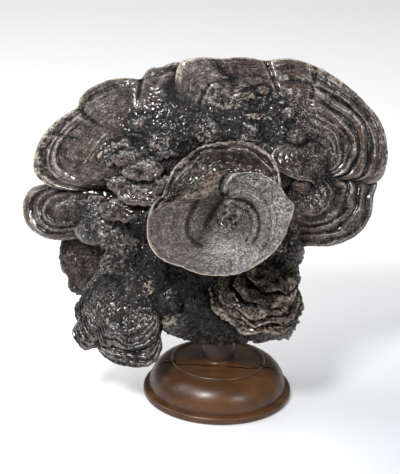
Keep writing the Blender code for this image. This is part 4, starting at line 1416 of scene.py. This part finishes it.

# %% [markdown]
# ## Stains and bare patches
# The real crust is unevenly dirty: sooty under the disc and between the lobes, brown where lacquer has
# yellowed, pale where ridges are rubbed or dusty. The dark ovals under the disc and beside the ledges are
# partly painted shadow, the band under the bowl's rim is painted shade, and pale patches on the ledges and
# the disc are painted highlights. These are painted as soft ovals, which the materials then break up with
# their own grain. The disc turns brown to the left of a slanting line, and the old plates are rubbed pale
# at their edges.

# %% Paint the stains
# Stains are (pieces, tone, centre, radii, amount). Centres and radii are (right, up) in millimetres.
STAINS = [
    # Dark ovals beside the ledges and under the disc are partly painted shadow, partly soot.
    ((left_mound, lobe_beside), "soot", (-84, -16), (26, 12), 0.9),
    ((core, heel_mound, left_mound), "soot", (-8, -88), (66, 50), 0.95),
    ((core, heel_mound, left_mound), "soot", (-66, -36), (26, 30), 0.5),
    ((fan_low_upper, left_mound, core), "soot", (-84, -60), (34, 26), 0.65),
    ((plate_left,), "soot", (-120, -48), (20, 12), 0.5),
    # This dark band under the bowl's rim is painted shade.
    ((bowl,), "soot", (-4, 62), (60, 8), 0.6),
    ((bowl_step,), "soot", (-20, 34), (50, 30), 0.35),
    ((upper_mound,), "soot", (-72, 124), (18, 24), 0.5),
    ((buds,), "soot", (80, 36), (12, 12), 0.3),
    ((lobe_left,), "brown", (-136, -4), (18, 24), 0.8),
    ((fan_left,), "brown", (-146, 58), (16, 18), 0.3),
    ((fan_left,), "brown", (-118, 92), (16, 12), 0.35),
    ((lobe_right,), "brown", (84, -8), (22, 16), 0.5),
    ((bowl,), "brown", (10, 60), (40, 26), 0.35),
    ((bowl_step,), "brown", (-20, 34), (50, 30), 0.9),
    ((buds,), "brown", (-148, 6), (14, 12), 0.5),
    ((buds,), "brown", (80, 36), (12, 12), 0.7),
    ((buds,), "brown", (35, 133), (10, 7), 0.8),
    ((heel_mound, core), "pale", (-58, -110), (16, 12), 0.45),
    ((heel_mound, core), "pale", (66, -84), (20, 20), 0.4),
    ((left_mound,), "pale", (-76, -80), (5, 14), 0.7),
    ((bowl,), "pale", (-34, 40), (26, 24), 0.16),
    ((bowl_step,), "pale", (-20, 34), (34, 20), 0.3),
    ((buds,), "pale", (28, 106), (14, 5), 0.8),
    ((buds,), "pale", (20, 126), (8, 4), 0.6),
    ((buds,), "pale", (77, -86), (8, 10), 0.5)]
# These pale patches on the disc are painted highlights over its bloom.
for centre, radii in (((36, 44), (28, 9)), ((54, 8), (9, 24)), ((22, -38), (36, 10)), ((0, -28), (20, 8))):
    STAINS.append(((front_disc,), "pale", centre, radii, 0.35))
# Each ledge is painted pale on its back as painted highlight, and brown under its lip.
for ledge, ((right, up, _), reach, _) in zip(ledges, LEDGES):
    STAINS.append(((ledge,), "pale", (right - 3, up + 0.25 * reach), (0.8 * reach, 0.3 * reach), 0.5))
    STAINS.append(((ledge,), "brown", (right, up - 0.5 * reach), (1.1 * reach, 0.4 * reach), 0.7))

for piece in growth:
    for tone in ("brown", "pale", "soot"):
        add_tone(piece, tone, 0.0)
for pieces, tone, centre, radii, amount in STAINS:
    for piece in pieces:
        add_tone(piece, tone, amount * oval(specimen_places(read_points(piece)), centre, radii))
disc_places = specimen_places(read_points(front_disc))
paint(front_disc, "brown", smooth_step(-disc_places[:, 0] + 0.35 * disc_places[:, 1], -8.0, 22.0))
# The old plates are painted darker inside and paler at their edges.
for piece in old_plates:
    inner = 1.0 - smooth_step(painted(piece, "rim"), 0.55, 0.9)
    paint_all(piece, soot=0.35 * inner, pale=0.3 * (1.0 - inner))
print("painted", len(STAINS), "stains")

# %% [markdown]
# ## Dressing the pieces
# Each bracket takes its crust on top and pores below, by the side that was painted on each face's
# vertices. Then every piece rides on the specimen's body, and the solid that it stands for is hidden.

# %% Dress every piece
def dress(piece, top, node="fungus"):
    """Give a piece its materials and tie it to the frame."""
    piece.data.materials.clear()
    piece.data.materials.append(top)
    if "under" in piece.data.attributes:
        piece.data.materials.append(pores)
        under = painted(piece, "under")
        corners = np.empty(len(piece.data.loops), dtype=int)
        piece.data.loops.foreach_get("vertex_index", corners)
        starts = np.empty(len(piece.data.polygons), dtype=int)
        piece.data.polygons.foreach_get("loop_start", starts)
        below = np.minimum.reduceat(under[corners], starts) > 0.5
        piece.data.polygons.foreach_set("material_index", below.astype(int))
    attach(piece, "root")
    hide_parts(node)


for piece in growth:
    if piece in old_plates:
        dress(piece, weathered)
    elif piece is front_disc:
        dress(piece, grey_face)
    elif piece is plate_left:
        dress(piece, smooth_crust)
    elif piece in low_fans:
        dress(piece, dull)
    elif piece in ledges:
        dress(piece, glossy)
    else:
        dress(piece, crust)
dress(stand, wood, "stand")
stand.data.materials.append(crack_shade_wood)
for index in crack_faces:
    stand.data.polygons[index].material_index = 1
print("dressed", len(growth), "pieces of the growth, and the stand")

# %% [markdown]
# ## Floor and light
# The specimen was photographed on a plain pale surface under large soft lights, the strongest from the
# upper left. The paper shades off towards the lower right, as it does behind and beside the object in the
# photograph. The lights are round, because the lacquer shows their shape in its highlights.

# %% Set the stage
FLOOR_RADIUS = 8.0
FLOOR_DROP = 0.0006
SHADE_PLACE = (0.42, -0.12, 0.0)
SHADE_START, SHADE_END = 0.62, 0.05
PAPER, PAPER_SHADED = (0.53, 0.53, 0.54), (0.31, 0.32, 0.34)
GLOW, GLOW_SHADED = (1.0, 1.0, 1.0), (0.59, 0.61, 0.65)
# The paper glows a little to stay pale, and its colour and glow are darkened round SHADE_PLACE as painted
# shade.
floor = add_primitive("circle", "floor", vertices=96, radius=FLOOR_RADIUS, fill_type="NGON",
                      location=(0, 0, -FLOOR_DROP))
paper = Recipe("paper")
reach = paper.node("ShaderNodeVectorMath", {"operation": "DISTANCE"}, {0: paper.places(), 1: SHADE_PLACE},
                   output="Value")
shaded = paper.ramp(reach, SHADE_START, SHADE_END)
floor.data.materials.append(paper.finish(
    Base_Color=paper.blend(shaded, PAPER, PAPER_SHADED), Roughness=0.9, Specular_IOR_Level=0.0,
    Emission_Color=paper.blend(shaded, GLOW, GLOW_SHADED), Emission_Strength=0.32))
print("the floor is", 2 * FLOOR_RADIUS, "m across")

# %% Light it
# Lights are (name, place, width in metres, power in watts), and all look at the heart.
LIGHTS = (("key", (-0.75, -1.35, 1.9), 0.6, 69.0), ("fill", (1.3, -1.5, 1.2), 0.7, 15.0),
          ("side", (-1.7, 0.1, 1.5), 1.5, 30.0), ("crown", (0.1, 0.5, 1.9), 0.8, 18.0))
SKY = (1.0, 1.0, 1.0, 1.0)
SKY_STRENGTH = 0.17


def soft_light(name, place, aim, size, power):
    """A round soft light that looks at a point."""
    bpy.ops.object.light_add(type="AREA", location=place)
    lamp = bpy.context.object
    lamp.name = name
    lamp.data.shape = "DISK"
    lamp.data.size = size
    lamp.data.energy = power
    lamp.rotation_euler = (Vector(aim) - Vector(place)).to_track_quat("-Z", "Y").to_euler()


for name, place, size, power in LIGHTS:
    soft_light(name, place, HEART, size, power)
world = bpy.data.worlds.new("studio")
bpy.context.scene.world = world
world.use_nodes = True
sky = world.node_tree.nodes["Background"]
sky.inputs["Color"].default_value = SKY
sky.inputs["Strength"].default_value = SKY_STRENGTH
bpy.context.scene.view_settings.view_transform = "Standard"
print("lights:", len(LIGHTS))

# %% [markdown]
# ## The camera
# The camera's height and distance come from the ellipse of the stand's foot. It looks down by about 22.5
# degrees, and is turned and rolled a little, which puts the foot where the photograph has it.

# %% Set the camera
CAMERA_PLACE = (0.0, -1.7772, 0.9173)
CAMERA_DOWN = 22.53
CAMERA_LEFT = 0.778
CAMERA_ROLL = 2.0
LENS = 138.8
bpy.ops.object.camera_add(location=CAMERA_PLACE)
camera = bpy.context.object
camera.name = "camera"
aim = Matrix.Rotation(radians(CAMERA_LEFT), 3, "Z") @ Matrix.Rotation(radians(90.0 - CAMERA_DOWN), 3, "X")
camera.rotation_euler = (aim @ Matrix.Rotation(radians(CAMERA_ROLL), 3, "Z")).to_euler()
camera.data.lens = LENS
camera.data.clip_end = 50.0
bpy.context.scene.camera = camera
print("camera at", CAMERA_PLACE)
